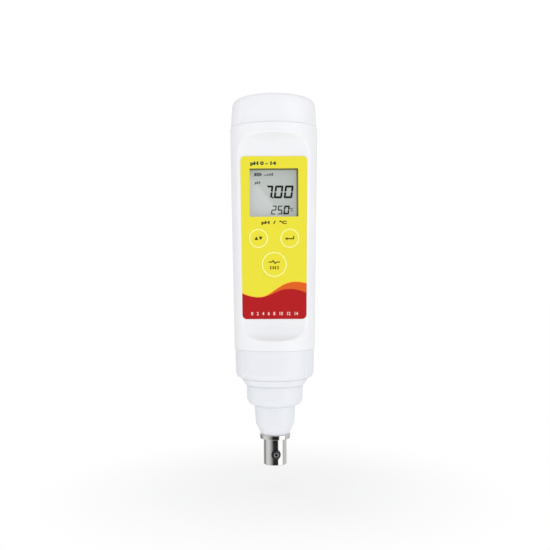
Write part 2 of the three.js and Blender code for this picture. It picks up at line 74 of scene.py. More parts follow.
# ------------------------------------------------------------------ node helpers
class Nodes:
    """A node tree with short makers for the nodes used here."""

    def __init__(self, tree):
        self.tree = tree

    def feed(self, socket, value):
        """Gives an input a number, a colour or vector, or a link."""
        if isinstance(value, (int, float)):
            socket.default_value = value
        elif isinstance(value, tuple):
            socket.default_value = (*value, 1.0) if socket.type == "RGBA" else value
        else:
            self.tree.links.new(value, socket)

    def node(self, kind, sockets=None, **props):
        made = self.tree.nodes.new(kind)
        for key, value in props.items():
            setattr(made, key, value)
        for key, value in (sockets or {}).items():
            self.feed(made.inputs[key], value)
        return made

    def span(self, value, low=0.0, high=1.0, start=0.3, stop=0.7, **props):
        """Maps start..stop to low..high."""
        return self.node("ShaderNodeMapRange", {
            "From Min": start, "From Max": stop, "To Min": low, "To Max": high, "Value": value,
        }, **props).outputs["Result"]

    def math(self, operation, a, b):
        return self.node("ShaderNodeMath", {0: a, 1: b}, operation=operation).outputs[0]

    def mix(self, factor, a, b):
        sockets = {0: factor, 6: a, 7: b}
        return self.node("ShaderNodeMix", sockets, data_type="RGBA").outputs[2]

    def mix_shader(self, factor, a, b):
        return self.node("ShaderNodeMixShader", {0: factor, 1: a, 2: b}).outputs[0]


class Material(Nodes):
    """A material whose textures lie in object coordinates."""

    def __init__(self, name):
        self.data = bpy.data.materials.new(name)
        self.data.use_nodes = True
        super().__init__(self.data.node_tree)
        self.shader = self.tree.nodes["Principled BSDF"]
        self.coord = self.node("ShaderNodeTexCoord").outputs["Object"]

    def mapped(self, **sockets):
        sockets = {key.capitalize(): value for key, value in sockets.items()}
        return self.node("ShaderNodeMapping", {**sockets, "Vector": self.coord}).outputs["Vector"]

    def noise(self, scale, detail=3.0, rough=0.55, vector=None):
        return self.node("ShaderNodeTexNoise", {
            "Scale": scale, "Detail": detail, "Roughness": rough, "Vector": vector or self.coord,
        }).outputs["Fac"]

    def bump(self, height, strength, distance, under=None):
        sockets = {"Strength": strength, "Distance": distance, "Height": height}
        if under is not None:
            sockets["Normal"] = under
        return self.node("ShaderNodeBump", sockets).outputs["Normal"]

    def geometry(self, output):
        return self.node("ShaderNodeNewGeometry").outputs[output]

    def edges(self, start, stop):
        """1 on outer edges, 0 on flats and in hollows."""
        return self.span(self.geometry("Pointiness"), start=start, stop=stop)

    def principled(self, sockets):
        for key, value in sockets.items():
            self.feed(self.shader.inputs[key], value)
        return self.data

    def surface(self, shader):
        """Puts another shader in place of the Principled one."""
        self.feed(self.tree.nodes["Material Output"].inputs["Surface"], shader)
        self.tree.nodes.remove(self.shader)
        return self.data


# ------------------------------------------------------------------ material recipes
def linear(*rgb):
    """8-bit display colour to linear."""
    return tuple(v / 255 / 12.92 if v / 255 <= 0.04045 else ((v / 255 + 0.055) / 1.055) ** 2.4
                 for v in rgb)


def scaled(colour, factor, lift=0.0):
    return tuple(min(1.0, c * factor + lift) for c in colour)


def moulded(name, colour, rough=0.34, grain=0.25, wear=0.5, specular=0.45, vary=0.018,
            scatter=0.0, tint=None):
    """Moulded plastic: slow tone change, fine grain, rubbed edges, handling marks."""
    m = Material(name)
    broad = m.noise(scale=55, detail=4)
    fine = m.noise(scale=1400)
    tone = m.mix(m.span(broad), scaled(colour, 1 - vary), scaled(tint or colour, 1 + vary * 0.6))
    specks = m.span(fine, high=0.35, start=0.45, stop=0.75)
    tone = m.mix(specks, tone, scaled(colour, 1 - vary * 1.2))
    patches = m.span(m.noise(scale=420, detail=2), low=0.15, high=wear)
    worn = m.math("MULTIPLY", m.edges(start=0.505, stop=0.60), patches)
    marks = m.noise(scale=140, detail=5, rough=0.7, vector=m.mapped(scale=(1.0, 1.0, 0.28)))
    gloss = m.math("ADD", m.span(marks, low=rough - 0.05, high=rough + 0.07),
                   m.span(fine, low=-0.02, high=0.03))
    polish = m.math("MULTIPLY", worn, 0.08)
    sink = m.bump(m.noise(scale=90, detail=2), strength=0.12, distance=0.00006)
    m.principled({
        "Base Color": m.mix(worn, tone, scaled(colour, 1.03, lift=0.012)),
        "Roughness": m.math("SUBTRACT", gloss, polish),
        "Specular IOR Level": specular,
        "Normal": m.bump(m.noise(scale=5200, detail=2), grain, distance=0.000012, under=sink),
    })
    if scatter:
        m.principled({
            "Subsurface Weight": scatter,
            "Subsurface Radius": (0.9, 0.85, 0.8),
            "Subsurface Scale": 0.0006,
        })
    return m.data


def metal(name, colour, rough=0.12, lines=0.12, tarnish=0.05):
    """Turned or rolled metal: tool lines, cloudy gloss, darker specks, brighter edges."""
    m = Material(name)
    cloud = m.noise(scale=260, detail=5, rough=0.65)
    tool = m.noise(scale=120, detail=2, rough=0.5, vector=m.mapped(scale=(1.0, 1.0, 60.0)))
    tone = m.mix(m.span(cloud), scaled(colour, 1 - tarnish), scaled(colour, 1 + tarnish * 0.4))
    tone = m.mix(m.edges(start=0.51, stop=0.62), tone, scaled(colour, 1.08))
    specks = m.span(m.noise(scale=3000, detail=2), high=0.25, start=0.55, stop=0.8)
    return m.principled({
        "Metallic": 1.0,
        "Base Color": m.mix(specks, tone, scaled(colour, 0.82)),
        "Roughness": m.math("ADD", m.span(cloud, low=rough - 0.03, high=rough + 0.06),
                            m.span(tool, low=-0.015, high=0.03)),
        "Normal": m.bump(tool, lines, distance=0.000006),
    })


def elastomer(name, colour, rough=0.75):
    """Rubber or silicone: matt, with a light bloom and a fine tooth."""
    m = Material(name)
    bloom = m.noise(scale=320, detail=5, rough=0.7)
    tone = m.mix(m.span(bloom, high=0.55), colour, scaled(colour, 1.5, lift=0.02))
    edges = m.edges(start=0.51, stop=0.65)
    return m.principled({
        "Base Color": m.mix(edges, tone, scaled(colour, 1.7, lift=0.03)),
        "Roughness": m.span(bloom, low=rough - 0.1, high=rough + 0.12),
        "Specular IOR Level": 0.3,
        "Normal": m.bump(m.noise(scale=6500), strength=0.4, distance=0.00002),
    })


def board(name):
    """Solder-masked board: copper runs under the mask, glass weave, tinned pads."""
    m = Material(name)
    weave = m.node("ShaderNodeTexChecker", {"Scale": 2600.0, "Vector": m.coord}).outputs["Fac"]
    runs = m.node("ShaderNodeTexBrick", {
        "Scale": 260.0, "Mortar Size": 0.035, "Vector": m.mapped(rotation=(math.pi / 2, 0, 0)),
    }).outputs["Fac"]
    mask = m.mix(m.span(weave, high=0.25, start=0, stop=1),
                 (0.012, 0.12, 0.045), (0.018, 0.16, 0.06))
    mask = m.mix(m.span(runs, high=0.8, start=0, stop=1), mask, (0.03, 0.26, 0.10))
    pads = m.node("ShaderNodeTexVoronoi", {"Scale": 420.0, "Vector": m.coord}, feature="F1")
    pad = m.span(pads.outputs["Distance"], low=1, high=0, start=0.16, stop=0.19)
    return m.principled({
        "Base Color": m.mix(pad, mask, (0.62, 0.6, 0.55)),
        "Metallic": m.math("MULTIPLY", pad, 0.9),
        "Roughness": m.span(m.noise(scale=500), low=0.32, high=0.5),
        "Normal": m.bump(runs, strength=0.25, distance=0.00003),
    })


def printed(name, colour, rough=0.36, specular=0.35, fade=0.02):
    """Ink under satin film: fine mottle and faint scuffs, paler in bounced light."""
    m = Material(name)
    mottle = m.noise(scale=900, detail=4, rough=0.6)
    tone = m.mix(m.span(mottle), scaled(colour, 1 - fade), scaled(colour, 1 + fade))
    tone = m.mix(m.span(m.noise(scale=48), high=0.5), tone, scaled(colour, 1 + fade * 1.4))
    diffuse_ray = m.node("ShaderNodeLightPath").outputs["Is Diffuse Ray"]
    bounce = m.math("MULTIPLY", diffuse_ray, 0.75)
    scuff = m.noise(scale=200, detail=6, rough=0.75, vector=m.mapped(scale=(1.0, 1.0, 0.2)))
    return m.principled({
        "Base Color": m.mix(bounce, tone, (0.55, 0.56, 0.6)),
        "Roughness": m.math("ADD", m.span(scuff, low=rough - 0.05, high=rough + 0.06),
                            m.span(mottle, low=-0.02, high=0.02)),
        "Specular IOR Level": specular,
        "Normal": m.bump(m.noise(scale=7500, detail=2), strength=0.22, distance=0.00001),
    })


def clear_window(name):
    """Hard-coated acrylic: see-through, with a Fresnel sheen and hairline scratches in it."""
    m = Material(name)
    fresnel = m.node("ShaderNodeFresnel", {"IOR": 1.36}).outputs[0]
    hair = m.noise(scale=900, detail=6, rough=0.8, vector=m.mapped(scale=(1.0, 1.0, 0.08)))
    gloss = m.node("ShaderNodeBsdfGlossy", {
        "Roughness": m.span(hair, low=0.02, high=0.12),
        "Normal": m.bump(hair, strength=0.05, distance=0.00001),
    }).outputs[0]
    tint = m.mix(m.span(m.noise(scale=70, detail=2)), (0.965, 0.975, 0.97), (0.985, 0.99, 0.985))
    see = m.node("ShaderNodeBsdfTransparent", {"Color": tint}).outputs[0]
    # sheen on the entry face only: a straight-through ray would meet total reflection leaving
    entry = m.span(m.geometry("Backfacing"), low=1, high=0, start=0, stop=1)
    return m.surface(m.mix_shader(m.math("MULTIPLY", fresnel, entry), see, gloss))


def lcd_face(name):
    """Reflective display: pearly grey-green, lighter below a soft diagonal as a painted reflection,
    a little darker towards the right as painted shade, with a faint painted glow.
    """
    m = Material(name)
    x, _, z = m.node("ShaderNodeSeparateXYZ", {0: m.coord}).outputs
    # metres below the painted reflection's diagonal: a point on it and its unit normal, in x and z
    point, normal = (-0.00595, 0.1162), (-0.796, 0.605)
    below = m.math("SUBTRACT", m.math("MULTIPLY", m.math("SUBTRACT", x, point[0]), normal[0]),
                   m.math("MULTIPLY", m.math("SUBTRACT", z, point[1]), normal[1]))
    side = m.span(below, start=-0.0004, stop=0.0005)
    # painted shade: the reflector is a little darker towards the right
    right = m.span(x, start=-0.006, stop=0.0095)
    base = m.mix(right, linear(198, 201, 199), linear(190, 194, 190))
    # painted reflection: lighter below the diagonal
    tone = m.mix(side, base, linear(213, 213, 214))
    grain = m.noise(scale=5200, detail=2, rough=0.5)
    tone = m.mix(m.span(grain, high=0.35), tone, linear(186, 190, 187))
    return m.principled({
        "Base Color": tone,
        # painted glow: the reflector emits a little light in its own colour, though it is no lamp
        "Emission Color": tone,
        "Emission Strength": 0.13,
        "Roughness": m.span(grain, low=0.42, high=0.55),
        "Specular IOR Level": 0.25,
        "Normal": m.bump(grain, strength=0.12, distance=0.00001),
    })


# ------------------------------------------------------------------ materials
WHITE = moulded("white_abs", linear(243, 244, 247), rough=0.33, grain=0.22, scatter=0.06,
                tint=linear(245, 245, 247))
WHITE_LOW = moulded("white_abs_lower", linear(236, 238, 243), rough=0.35, grain=0.22, scatter=0.06)
INNER = moulded("natural_abs", (0.78, 0.79, 0.79), rough=0.5, grain=0.4, vary=0.03)
BLACK = moulded("black_nylon", (0.018, 0.018, 0.02), rough=0.5, grain=0.5, vary=0.25, wear=0.35)
# the display's dark olive border: where it shows, at the top and right of the window, it is painted
# shadow of the window's edge
SHADOW_BAND = moulded("display_painted_shadow_band", linear(150, 144, 92), rough=0.6, grain=0.3, vary=0.12)
RUBBER = elastomer("nitrile", (0.018, 0.018, 0.018))
SILICONE = elastomer("silicone", (0.62, 0.62, 0.60), rough=0.6)
GASKET = elastomer("pale_silicone", (0.80, 0.80, 0.81), rough=0.55)
NICKEL = metal("bright_nickel", (0.80, 0.795, 0.785), rough=0.06, lines=0.05, tarnish=0.03)
# the bayonet lugs' nickels, grey on the rim and dark elsewhere: painted shade, darker than the
# bright nickel round them
NICKEL_PAINTED_DARK = metal("nickel_painted_dark_shade", (0.045, 0.046, 0.05), rough=0.24, lines=0.1, tarnish=0.3)
NICKEL_PAINTED_GREY = metal("nickel_painted_grey_shade", (0.42, 0.42, 0.425), rough=0.30, lines=0.1, tarnish=0.12)
STEEL = metal("rolled_steel", (0.62, 0.63, 0.64), rough=0.22, lines=0.25)
GOLD = metal("gold_flash", (0.86, 0.62, 0.26), rough=0.16, lines=0.15)
PTFE = moulded("ptfe", (0.84, 0.84, 0.81), rough=0.48, grain=0.3, specular=0.3, scatter=0.2,
               vary=0.02)
BOARD = board("solder_mask")
RED_WIRE = moulded("red_pvc", (0.42, 0.02, 0.015), rough=0.45, grain=0.2, vary=0.1)
BLACK_WIRE = moulded("black_pvc", (0.014, 0.014, 0.015), rough=0.42, grain=0.2, vary=0.25)
YELLOW = printed("ink_yellow", linear(237, 226, 58), specular=0.2)
ORANGE = printed("ink_orange", linear(226, 98, 28), specular=0.2)
RED = printed("ink_red", linear(184, 22, 27), specular=0.2)
AMBER = printed("ink_amber", linear(252, 205, 52))
RING = printed("ink_pale_yellow", linear(255, 251, 150), rough=0.3, specular=0.25)
TEAL = printed("ink_dark_teal", linear(24, 66, 60), rough=0.4)
OLIVE = printed("ink_dark_olive", linear(66, 58, 10), rough=0.4)
PINK = printed("ink_pinkish_white", linear(250, 222, 216), rough=0.4)
SEGMENT = printed("display_segment", (0.016, 0.017, 0.018), rough=0.5, specular=0.2, fade=0.15)
SEGMENT_FAINT = printed("display_segment_faint", linear(96, 98, 98), rough=0.5, specular=0.2,
                        fade=0.05)
CLEAR = clear_window("clear_acrylic")
LCD = lcd_face("display_reflector")

BY_SLOT = {
    "white_plastic": WHITE, "inner_plastic": INNER, "film": YELLOW, "window": CLEAR, "lcd": LCD,
    "black_plastic": BLACK, "seal_rubber": RUBBER, "silicone": SILICONE, "board": BOARD,
    "steel": STEEL, "nickel": NICKEL, "gold": GOLD, "ptfe": PTFE,
    "red_wire": RED_WIRE, "black_wire": BLACK_WIRE,
}
SLOT_OF = {part["node"]: part["material_slot"] for part in frame["record"]["subparts"]}
for node_name, cad_object in frame["nodes"].items():
    for material_slot in cad_object.material_slots:
        material_slot.material = BY_SLOT[SLOT_OF[node_name]]


# ------------------------------------------------------------------ objects and meshes
def body_of(node):
    bodies = frame["record"]["behaviour"]["bodies"]
    return next(body for body, members in bodies.items() if node in members)


def attach(ob, node=None, body=None, slot=None):
    """Makes ob stand for a CAD node, or ride a body as an extra."""
    if node:
        body, slot = body_of(node), SLOT_OF[node]
    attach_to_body(ob, body)
    if node:
        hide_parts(node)


def add_object(name, data):
    ob = bpy.data.objects.new(name, data)
    bpy.context.scene.collection.objects.link(ob)
    return ob


def clean(mesh, merge=1e-8):
    """Merges coincident vertices and turns the normals outwards."""
    bm = bmesh.new()
    bm.from_mesh(mesh)
    bmesh.ops.remove_doubles(bm, verts=bm.verts, dist=merge)
    bmesh.ops.recalc_face_normals(bm, faces=bm.faces)
    bm.to_mesh(mesh)
    bm.free()


def new_mesh(name, verts, faces, materials=(), ids=None):
    """A clean mesh from millimetres; ids are the faces' material numbers."""
    mesh = bpy.data.meshes.new(name)
    mesh.from_pydata([tuple(c * MM for c in v) for v in verts], [], faces)
    for material in materials:
        mesh.materials.append(material)
    if ids is not None:
        mesh.polygons.foreach_set("material_index", ids)
    clean(mesh)
    return mesh


def soften(mesh, sharp=SHARP):
    mesh.shade_smooth()
    mesh.set_sharp_from_angle(angle=math.radians(sharp))


def put(name, verts, faces, materials, ids=None, sharp=SHARP, **owner):
    """Adds a piece; sharp=None leaves it flat-shaded, owner goes to attach."""
    mesh = new_mesh(name, verts, faces, materials, ids)
    if sharp is not None:
        soften(mesh, sharp)
    ob = add_object(name, mesh)
    attach(ob, **owner)
    return ob


def cut(ob, *cutters):
    """Cuts closed meshes out of ob and keeps the result as its mesh."""
    for cutter_mesh in cutters:
        cutter = add_object("cutter", cutter_mesh)
        modifier = ob.modifiers.new("cut", "BOOLEAN")
        modifier.operation = "DIFFERENCE"
        modifier.solver = "EXACT"
        modifier.object = cutter
        bpy.context.view_layer.update()
        depsgraph = bpy.context.evaluated_depsgraph_get()
        result = bpy.data.meshes.new_from_object(ob.evaluated_get(depsgraph))
        ob.modifiers.clear()
        result.name = ob.data.name + "_cut"
        ob.data = result
        bpy.data.objects.remove(cutter)
    soften(ob.data)


# ------------------------------------------------------------------ outlines
def fillet(profile, radius, closed=True, steps=4):
    """Rounds each corner of a 2D profile. A point may carry its own radius as a third number."""
    out = []
    count = len(profile)
    for i, (x, y, *own_radius) in enumerate(profile):
        if not closed and i in (0, count - 1):
            out.append((x, y))
            continue
        before, after = profile[i - 1], profile[(i + 1) % count]
        back = Vector((before[0] - x, before[1] - y))
        ahead = Vector((after[0] - x, after[1] - y))
        back_length, ahead_length = back.length, ahead.length
        back, ahead = back / back_length, ahead / ahead_length
        angle = math.acos(max(-1, min(1, back.dot(ahead))))
        if angle > math.radians(172):
            out.append((x, y))
            continue
        wanted = own_radius[0] if own_radius else radius
        trim = min(wanted / math.tan(angle / 2), 0.46 * back_length, 0.46 * ahead_length)
        arc = trim * math.tan(angle / 2)
        corner = Vector((x, y))
        centre = corner + (back + ahead).normalized() * arc / math.sin(angle / 2)
        start, end = corner + back * trim - centre, corner + ahead * trim - centre
        turn = math.atan2(start.x * end.y - start.y * end.x, start.dot(end))
        parts = max(2, int(round(steps * abs(turn) / (math.pi / 2))) + 1)
        for j in range(parts + 1):
            c, s = math.cos(turn * j / parts), math.sin(turn * j / parts)
            out.append((centre.x + start.x * c - start.y * s, centre.y + start.x * s + start.y * c))
    return out


def rounded_rect(x0, x1, z0, z1, radius, steps=8):
    points = []
    for x, z, first in ((x1 - radius, z0 + radius, -90), (x1 - radius, z1 - radius, 0),
                        (x0 + radius, z1 - radius, 90), (x0 + radius, z0 + radius, 180)):
        for i in range(steps + 1):
            a = math.radians(first + 90 * i / steps)
            points.append((x + radius * math.cos(a), z + radius * math.sin(a)))
    return points


def circle(x, z, radius, count=72):
    turns = [2 * math.pi * i / count for i in range(count)]
    return [(x + radius * math.cos(a), z + radius * math.sin(a)) for a in turns]


def smooth_path(points, per=10):
    """Catmull-Rom through the points, with per steps between each two."""
    def beyond(end, inner):
        return tuple(2 * e - i for e, i in zip(end, inner))

    p = [beyond(points[0], points[1]), *points, beyond(points[-1], points[-2])]
    out = []
    for quad in zip(p, p[1:], p[2:], p[3:]):
        for k in range(per):
            t = k / per
            out.append(tuple(
                0.5 * (2 * b + (c - a) * t + (2 * a - 5 * b + 4 * c - d) * t * t
                       + (3 * b - a - 3 * c + d) * t ** 3)
                for a, b, c, d in zip(*quad)))
    out.append(points[-1])
    return out


def ribbon(points, width):
    """One closed outline of even width along an open line, with mitred corners."""
    sides = {1: [], -1: []}
    for i, (x, z) in enumerate(points):
        near = points[max(i - 1, 0):i + 2]
        ways = []
        for (ax, az), (bx, bz) in zip(near, near[1:]):
            length = math.hypot(bx - ax, bz - az)
            ways.append(((bx - ax) / length, (bz - az) / length))
        nx, nz = -sum(way[1] for way in ways), sum(way[0] for way in ways)
        length = math.hypot(nx, nz)
        nx, nz = nx / length, nz / length
        reach = (width / 2) / max(0.45, abs(nx * -ways[0][1] + nz * ways[0][0]))
        for sign, side in sides.items():
            side.append((x + sign * nx * reach, z + sign * nz * reach))
    return sides[1][::-1] + sides[-1]


# ------------------------------------------------------------------ solids
def join_rings(rings, closed=False, second=()):
    """Joins rings of points into a skin; a ring of one point is a pole.

    Returns vertices, faces and material numbers: 1 for the bands listed in second, else 0.
    """
    verts, index = [], []
    for ring in rings:
        index.append(range(len(verts), len(verts) + len(ring)))
        verts.extend(ring)
    faces, ids = [], []
    following = index[1:] + (index[:1] if closed else [])
    for band, (a, b) in enumerate(zip(index, following)):
        count = max(len(a), len(b))
        for k in range(count):
            k2 = (k + 1) % count
            if len(a) == 1:
                faces.append((a[0], b[k], b[k2]))
            elif len(b) == 1:
                faces.append((a[k], b[0], a[k2]))
            else:
                faces.append((a[k], b[k], b[k2], a[k2]))
            ids.append(int(band in second))
    return verts, faces, ids


def even_angles(count):
    return np.arange(count) * 2 * math.pi / count


def banded_angles(start, stop, fine, step=2.2):
    """Angles in radians, 0 at the front, closer from start to stop degrees on both sides."""
    half = np.concatenate([np.arange(0, start, step), np.arange(start, stop, fine),
                           np.linspace(stop, 180, int((180 - stop) / step))])
    return np.radians(np.concatenate([-half[1:-1][::-1], half]))


def wrap(name, rings, phi, material, closed=True, centre=(0, 0), sharp=SHARP, **owner):
    """A skin round Z from (radius, z) rings; a radius may be an array over phi."""
    cx, cy = centre
    loops = []
    for radius, z in rings:
        if np.isscalar(radius) and radius < 1e-6:
            loops.append([(cx, cy, z)])
            continue
        xs, ys = cx + radius * np.sin(phi), cy - radius * np.cos(phi)
        loops.append([(x, y, z) for x, y in zip(xs, ys)])
    verts, faces, ids = join_rings(loops, closed)
    return put(name, verts, faces, [material], ids, sharp, **owner)


def turned(name, node, material, profile, rounding=0.12, count=96, steps=4, **options):
    """A turned piece round Z from (radius, z); a profile that starts on the axis is open."""
    closed = profile[0][0] > 0
    rings = fillet(profile, rounding, closed, steps)
    return wrap(name, rings, even_angles(count), material, closed, node=node, **options)


def turned_y(name, node, materials, profile, x, z, count=64, second=(), sharp=SHARP):
    """A turned piece along Y at (x, z) from (radius, y) rings that start and end on its axis."""
    loops = [[(x, y, z)] if radius < 1e-6 else
             [(px, y, pz) for px, pz in circle(x, z, radius, count)]
             for radius, y in profile]
    verts, faces, ids = join_rings(loops, second=second)
    put(name, verts, faces, materials, ids, sharp, node=node)


def torus(name, node, material, ring_radius, tube_radius, z):
    rings = circle(ring_radius, z, tube_radius, count=20)
    wrap(name, rings, even_angles(144), material, sharp=80, node=node)


def bore(name, x, y, stations, count=36):
    """A closed cutter along Z at (x, y) from (z, radius) stations."""
    loops = [[(px, py, z) for px, py in circle(x, y, radius, count)] for z, radius in stations]
    verts, faces, _ = join_rings(loops)
    ends = [tuple(range(count)), tuple(range(len(verts) - count, len(verts)))]
    return new_mesh(name, verts, ends + faces)


def prisms(loops, y0, y1):
    """Vertices and faces of closed prisms along Y from XZ loops."""
    verts, faces = [], []
    for loop in loops:
        n, first = len(loop), len(verts)
        verts += [(x, y, z) for y in (y0, y1) for x, z in loop]
        near = range(first, first + n)
        faces += [tuple(near), tuple(k + n for k in reversed(near))]
        faces += [(b, a, a + n, b + n) for a, b in zip(near, [*near[1:], first])]
    return verts, faces


def slabs(name, loops, y_front, depth, material, body, slot):
    """Thin printed shapes."""
    verts, faces = prisms(loops, y_front, y_front + depth)
    put(name, verts, faces, [material], sharp=None, body=body, slot=slot)


def lettering(name, text, x, z, width, height, y_front, material, bold, depth=0.02, slot="film"):
    """Outline text as closed slabs, sized to a box in the XZ plane."""
    curve = bpy.data.curves.new(name, "FONT")
    curve.body, curve.size, curve.offset, curve.extrude = text, 1.0, bold, 0.5
    curve.resolution_u = 6
    curve.align_x, curve.align_y = "CENTER", "CENTER"
    source = add_object(name + "_tmp", curve)
    bpy.context.view_layer.update()
    depsgraph = bpy.context.evaluated_depsgraph_get()
    mesh = bpy.data.meshes.new_from_object(source.evaluated_get(depsgraph))
    bpy.data.objects.remove(source)
    points = np.array([v.co for v in mesh.vertices], float)
    low, high = points.min(0), points.max(0)
    middle, size = (low + high) / 2, high - low
    xs = x + (points[:, 0] - middle[0]) * width / size[0]
    zs = z + (points[:, 1] - middle[1]) * height / size[1]
    ys = y_front + (points[:, 2] < 0) * depth
    mesh.vertices.foreach_set("co", (np.stack([xs, ys, zs], 1) * MM).ravel())
    mesh.materials.clear()
    mesh.materials.append(material)
    clean(mesh, merge=1e-7)
    attach(add_object(name, mesh), body="barrel", slot=slot)


def grid_faces(columns, rows, first=0):
    """Quads over a grid of columns by rows points, row after row."""
    corners = [first + j * columns + i for j in range(rows - 1) for i in range(columns - 1)]
    return [(a, a + 1, a + columns + 1, a + columns) for a in corners]


# ------------------------------------------------------------------ shared surface shapes
def smoothstep(x):
    x = np.clip(x, 0, 1)
    return x * x * (3 - 2 * x)


def smooth_max(a, b, blend):
    share = np.clip(0.5 + 0.5 * (a - b) / blend, 0, 1)
    return b * (1 - share) + a * share + blend * share * (1 - share)


def thread(phi, z, start, low, high, half_base=0.65, flank=0.34):
    """Ridge height 0 to 1 at each angle of a right-handed thread that fades out at low and high.

    start is the helix's height at +X; half_base is half the ridge's foot.
    """
    helix = start + LEAD * (phi - math.pi / 2) / (2 * math.pi)
    offset = (z - helix + LEAD / 2) % LEAD - LEAD / 2
    ridge_z = z - offset
    margin, fade = 0.05, 0.7
    return (smoothstep((half_base - np.abs(offset)) / flank)
            * smoothstep((ridge_z - low + margin) / fade)
            * smoothstep((high - ridge_z + margin) / fade))


def grip(phi, edge, groove_depth):
    """Side pads that start edge degrees from the front and back, and the groove beside them.

    Returns the pads as 0 to 1 with soft shoulders, and the groove's depth.
    """
    shoulder, groove_offset, groove_width = 0.62, 1.1, 0.5
    off = np.degrees(np.minimum(np.abs(phi), math.pi - np.abs(phi)))
    pad = smoothstep((off - (edge - shoulder)) / (2 * shoulder))
    groove = groove_depth * np.exp(-((off - (edge - groove_offset)) / groove_width) ** 2)
    return pad, groove


# ------------------------------------------------------------------ barrel
FLAT_LOW, FLAT_HIGH = 60.8, 129.0
RUN_OUT = 8.0            # radius of the concave ends of the flat
WALL_Y = 8.8             # the bore stops this far in front of the axis, behind the flat
# low, high and count of the heights up the outside, closest where the flat runs out
BARREL_STATIONS = [
    (49.7, 52.2, 6), (52.35, 55.2, 34), (55.5, FLAT_LOW, 16), (62.5, 127.5, 28),
    (FLAT_HIGH, 134.4, 17), (134.6, 137.5, 38), (137.8, 140.9, 8),
]


def barrel_radius(z):
    low, high = 16.9, 18.45
    return low + (high - low) * (z - BARREL_LOW) / (BARREL_HIGH - BARREL_LOW)


def face_radius(phi, z):
    """Skin radius at each angle: the taper less the flat and its run-outs, edges rounded."""
    taper = barrel_radius(z)
    middle, half = (FLAT_LOW + FLAT_HIGH) / 2, (FLAT_HIGH - FLAT_LOW) / 2
    beyond = abs(z - middle) - half
    blend = 0.7 if z > middle else 0.62 - 0.2 * smoothstep(beyond / 5.0)
    low, high = np.full(len(phi), 4.0), np.full(len(phi), taper + 0.6)
    for _ in range(34):  # bisection
        radius = (low + high) / 2
        behind = -radius * np.cos(phi) - (FLAT_Y - RUN_OUT)
        distance = np.where((behind > 0) | (beyond > 0),
                            np.hypot(np.maximum(behind, 0), max(beyond, 0)),
                            np.maximum(behind, beyond)) - RUN_OUT
        inside = smooth_max(radius - taper, -distance, blend) < 0
        low, high = np.where(inside, radius, low), np.where(inside, high, radius)
    return np.minimum((low + high) / 2, taper)


def build_barrel():
    phi = banded_angles(start=40, stop=62, fine=0.6)
    ahead = np.cos(phi)
    wall = np.where(ahead > 0.06, WALL_Y / np.maximum(ahead, 0.06), 99.0)
    # (radius, z): throat and lower lip, thread, shoulder
    rings = [(12.2, 51.9), (12.2, 46.0), (12.2, 41.35), (12.25, 41.2), (12.38, 41.1), (12.9, 41.1),
             (13.4, 41.1), (13.55, 41.16), (13.66, 41.3)]
    for z in np.arange(41.45, 48.62, 0.1):
        ridge = thread(phi, z, PROBE_THREAD, PROBE_THREAD, 47.6, half_base=0.625, flank=0.315)
        rings.append((13.72 + 0.78 * ridge, z))
    rings += [(13.75, 48.7), (13.8, 48.84), (13.95, BARREL_LOW), (15.2, BARREL_LOW),
              (16.72, BARREL_LOW)]
    rings += [(16.72 + 0.2 * math.sin(a), BARREL_LOW + 0.2 - 0.2 * math.cos(a)) for a in QUARTER]
    # outside, top edge, mouth
    for low, high, count in BARREL_STATIONS:
        rings += [(face_radius(phi, z), z) for z in np.linspace(low, high, count).tolist()]
    rings += [(barrel_radius(141.0) - 0.25 * (1 - math.cos(a)),
               BARREL_HIGH - 0.25 + 0.25 * math.sin(a)) for a in QUARTER]
    rings += [(17.4, BARREL_HIGH), (16.5, BARREL_HIGH), (16.36, 141.24), (16.3, 141.1),
              (16.3, 139.8), (16.3, 138.6), (15.9, 138.6)]
    # down the bore
    bore_stations = [(15.6, 138.5), (15.6, 137.0), (15.6, 136.1)]
    bore_stations += [(barrel_radius(z) - 2.0, z) for z in (135.4, 125, 110, 95, 80, 65, 53.0)]
    bore_stations += [(14.6, 52.05), (12.9, 51.98)]
    rings += [(np.minimum(radius, wall), z) for radius, z in bore_stations]
    barrel = wrap("barrel_shell_skin", rings, phi, WHITE, node="barrel_shell")

    openings = [rounded_rect(-10.3, 10.3, 103.4, 123.8, 0.6)]
    openings += [circle(x, z, opening) for x, z, _, opening in KEYS.values()]
    rebate = [rounded_rect(-11.8, 11.8, 101.9, 125.3, 0.9)]
    cut(barrel, new_mesh("cut_a", *prisms(openings, -12.5, -8.0)),
        new_mesh("cut_b", *prisms(rebate, -12.5, -9.8)))


build_barrel()


# ------------------------------------------------------------------ film face
# (x, z) of the top of the coloured area and of the line that splits it
WAVE_TOP = smooth_path([
    (-14.6, 73.3), (-12.75, 72.08), (-10.2, 71.18), (-7.2, 70.65), (-4.5, 70.85), (-2.1, 71.92),
    (0.94, 74.01), (3.94, 75.81), (6.36, 76.63), (8.45, 76.88), (10.87, 76.72), (13.4, 76.26),
    (14.6, 75.9)])
WAVE_LOW = smooth_path([
    (-4.5, 70.85), (-2.1, 71.45), (0.94, 72.82), (3.32, 73.72), (5.45, 74.0), (7.54, 74.0),
    (9.96, 73.56), (11.77, 72.99), (13.4, 72.2), (14.6, 71.7)])
STRIPE = 0.42            # height of the amber line along the top


def in_loop(point, loop):
    hit = False
    for (x1, z1), (x2, z2) in zip(loop, loop[-1:] + loop[:-1]):
        if (z1 > point[1]) != (z2 > point[1]):
            if point[0] < (x2 - x1) * (point[1] - z1) / (z2 - z1) + x1:
                hit = not hit
    return hit


def ink_at(x, z):
    """Material number on the film: 0 yellow, 1 orange, 2 red, 3 amber."""
    top = np.interp(x, *zip(*WAVE_TOP))
    low = np.interp(x, *zip(*WAVE_LOW), left=math.inf)
    if z > top + STRIPE:
        return 0
    if z > top:
        return 3
    return 1 if z > low else 2


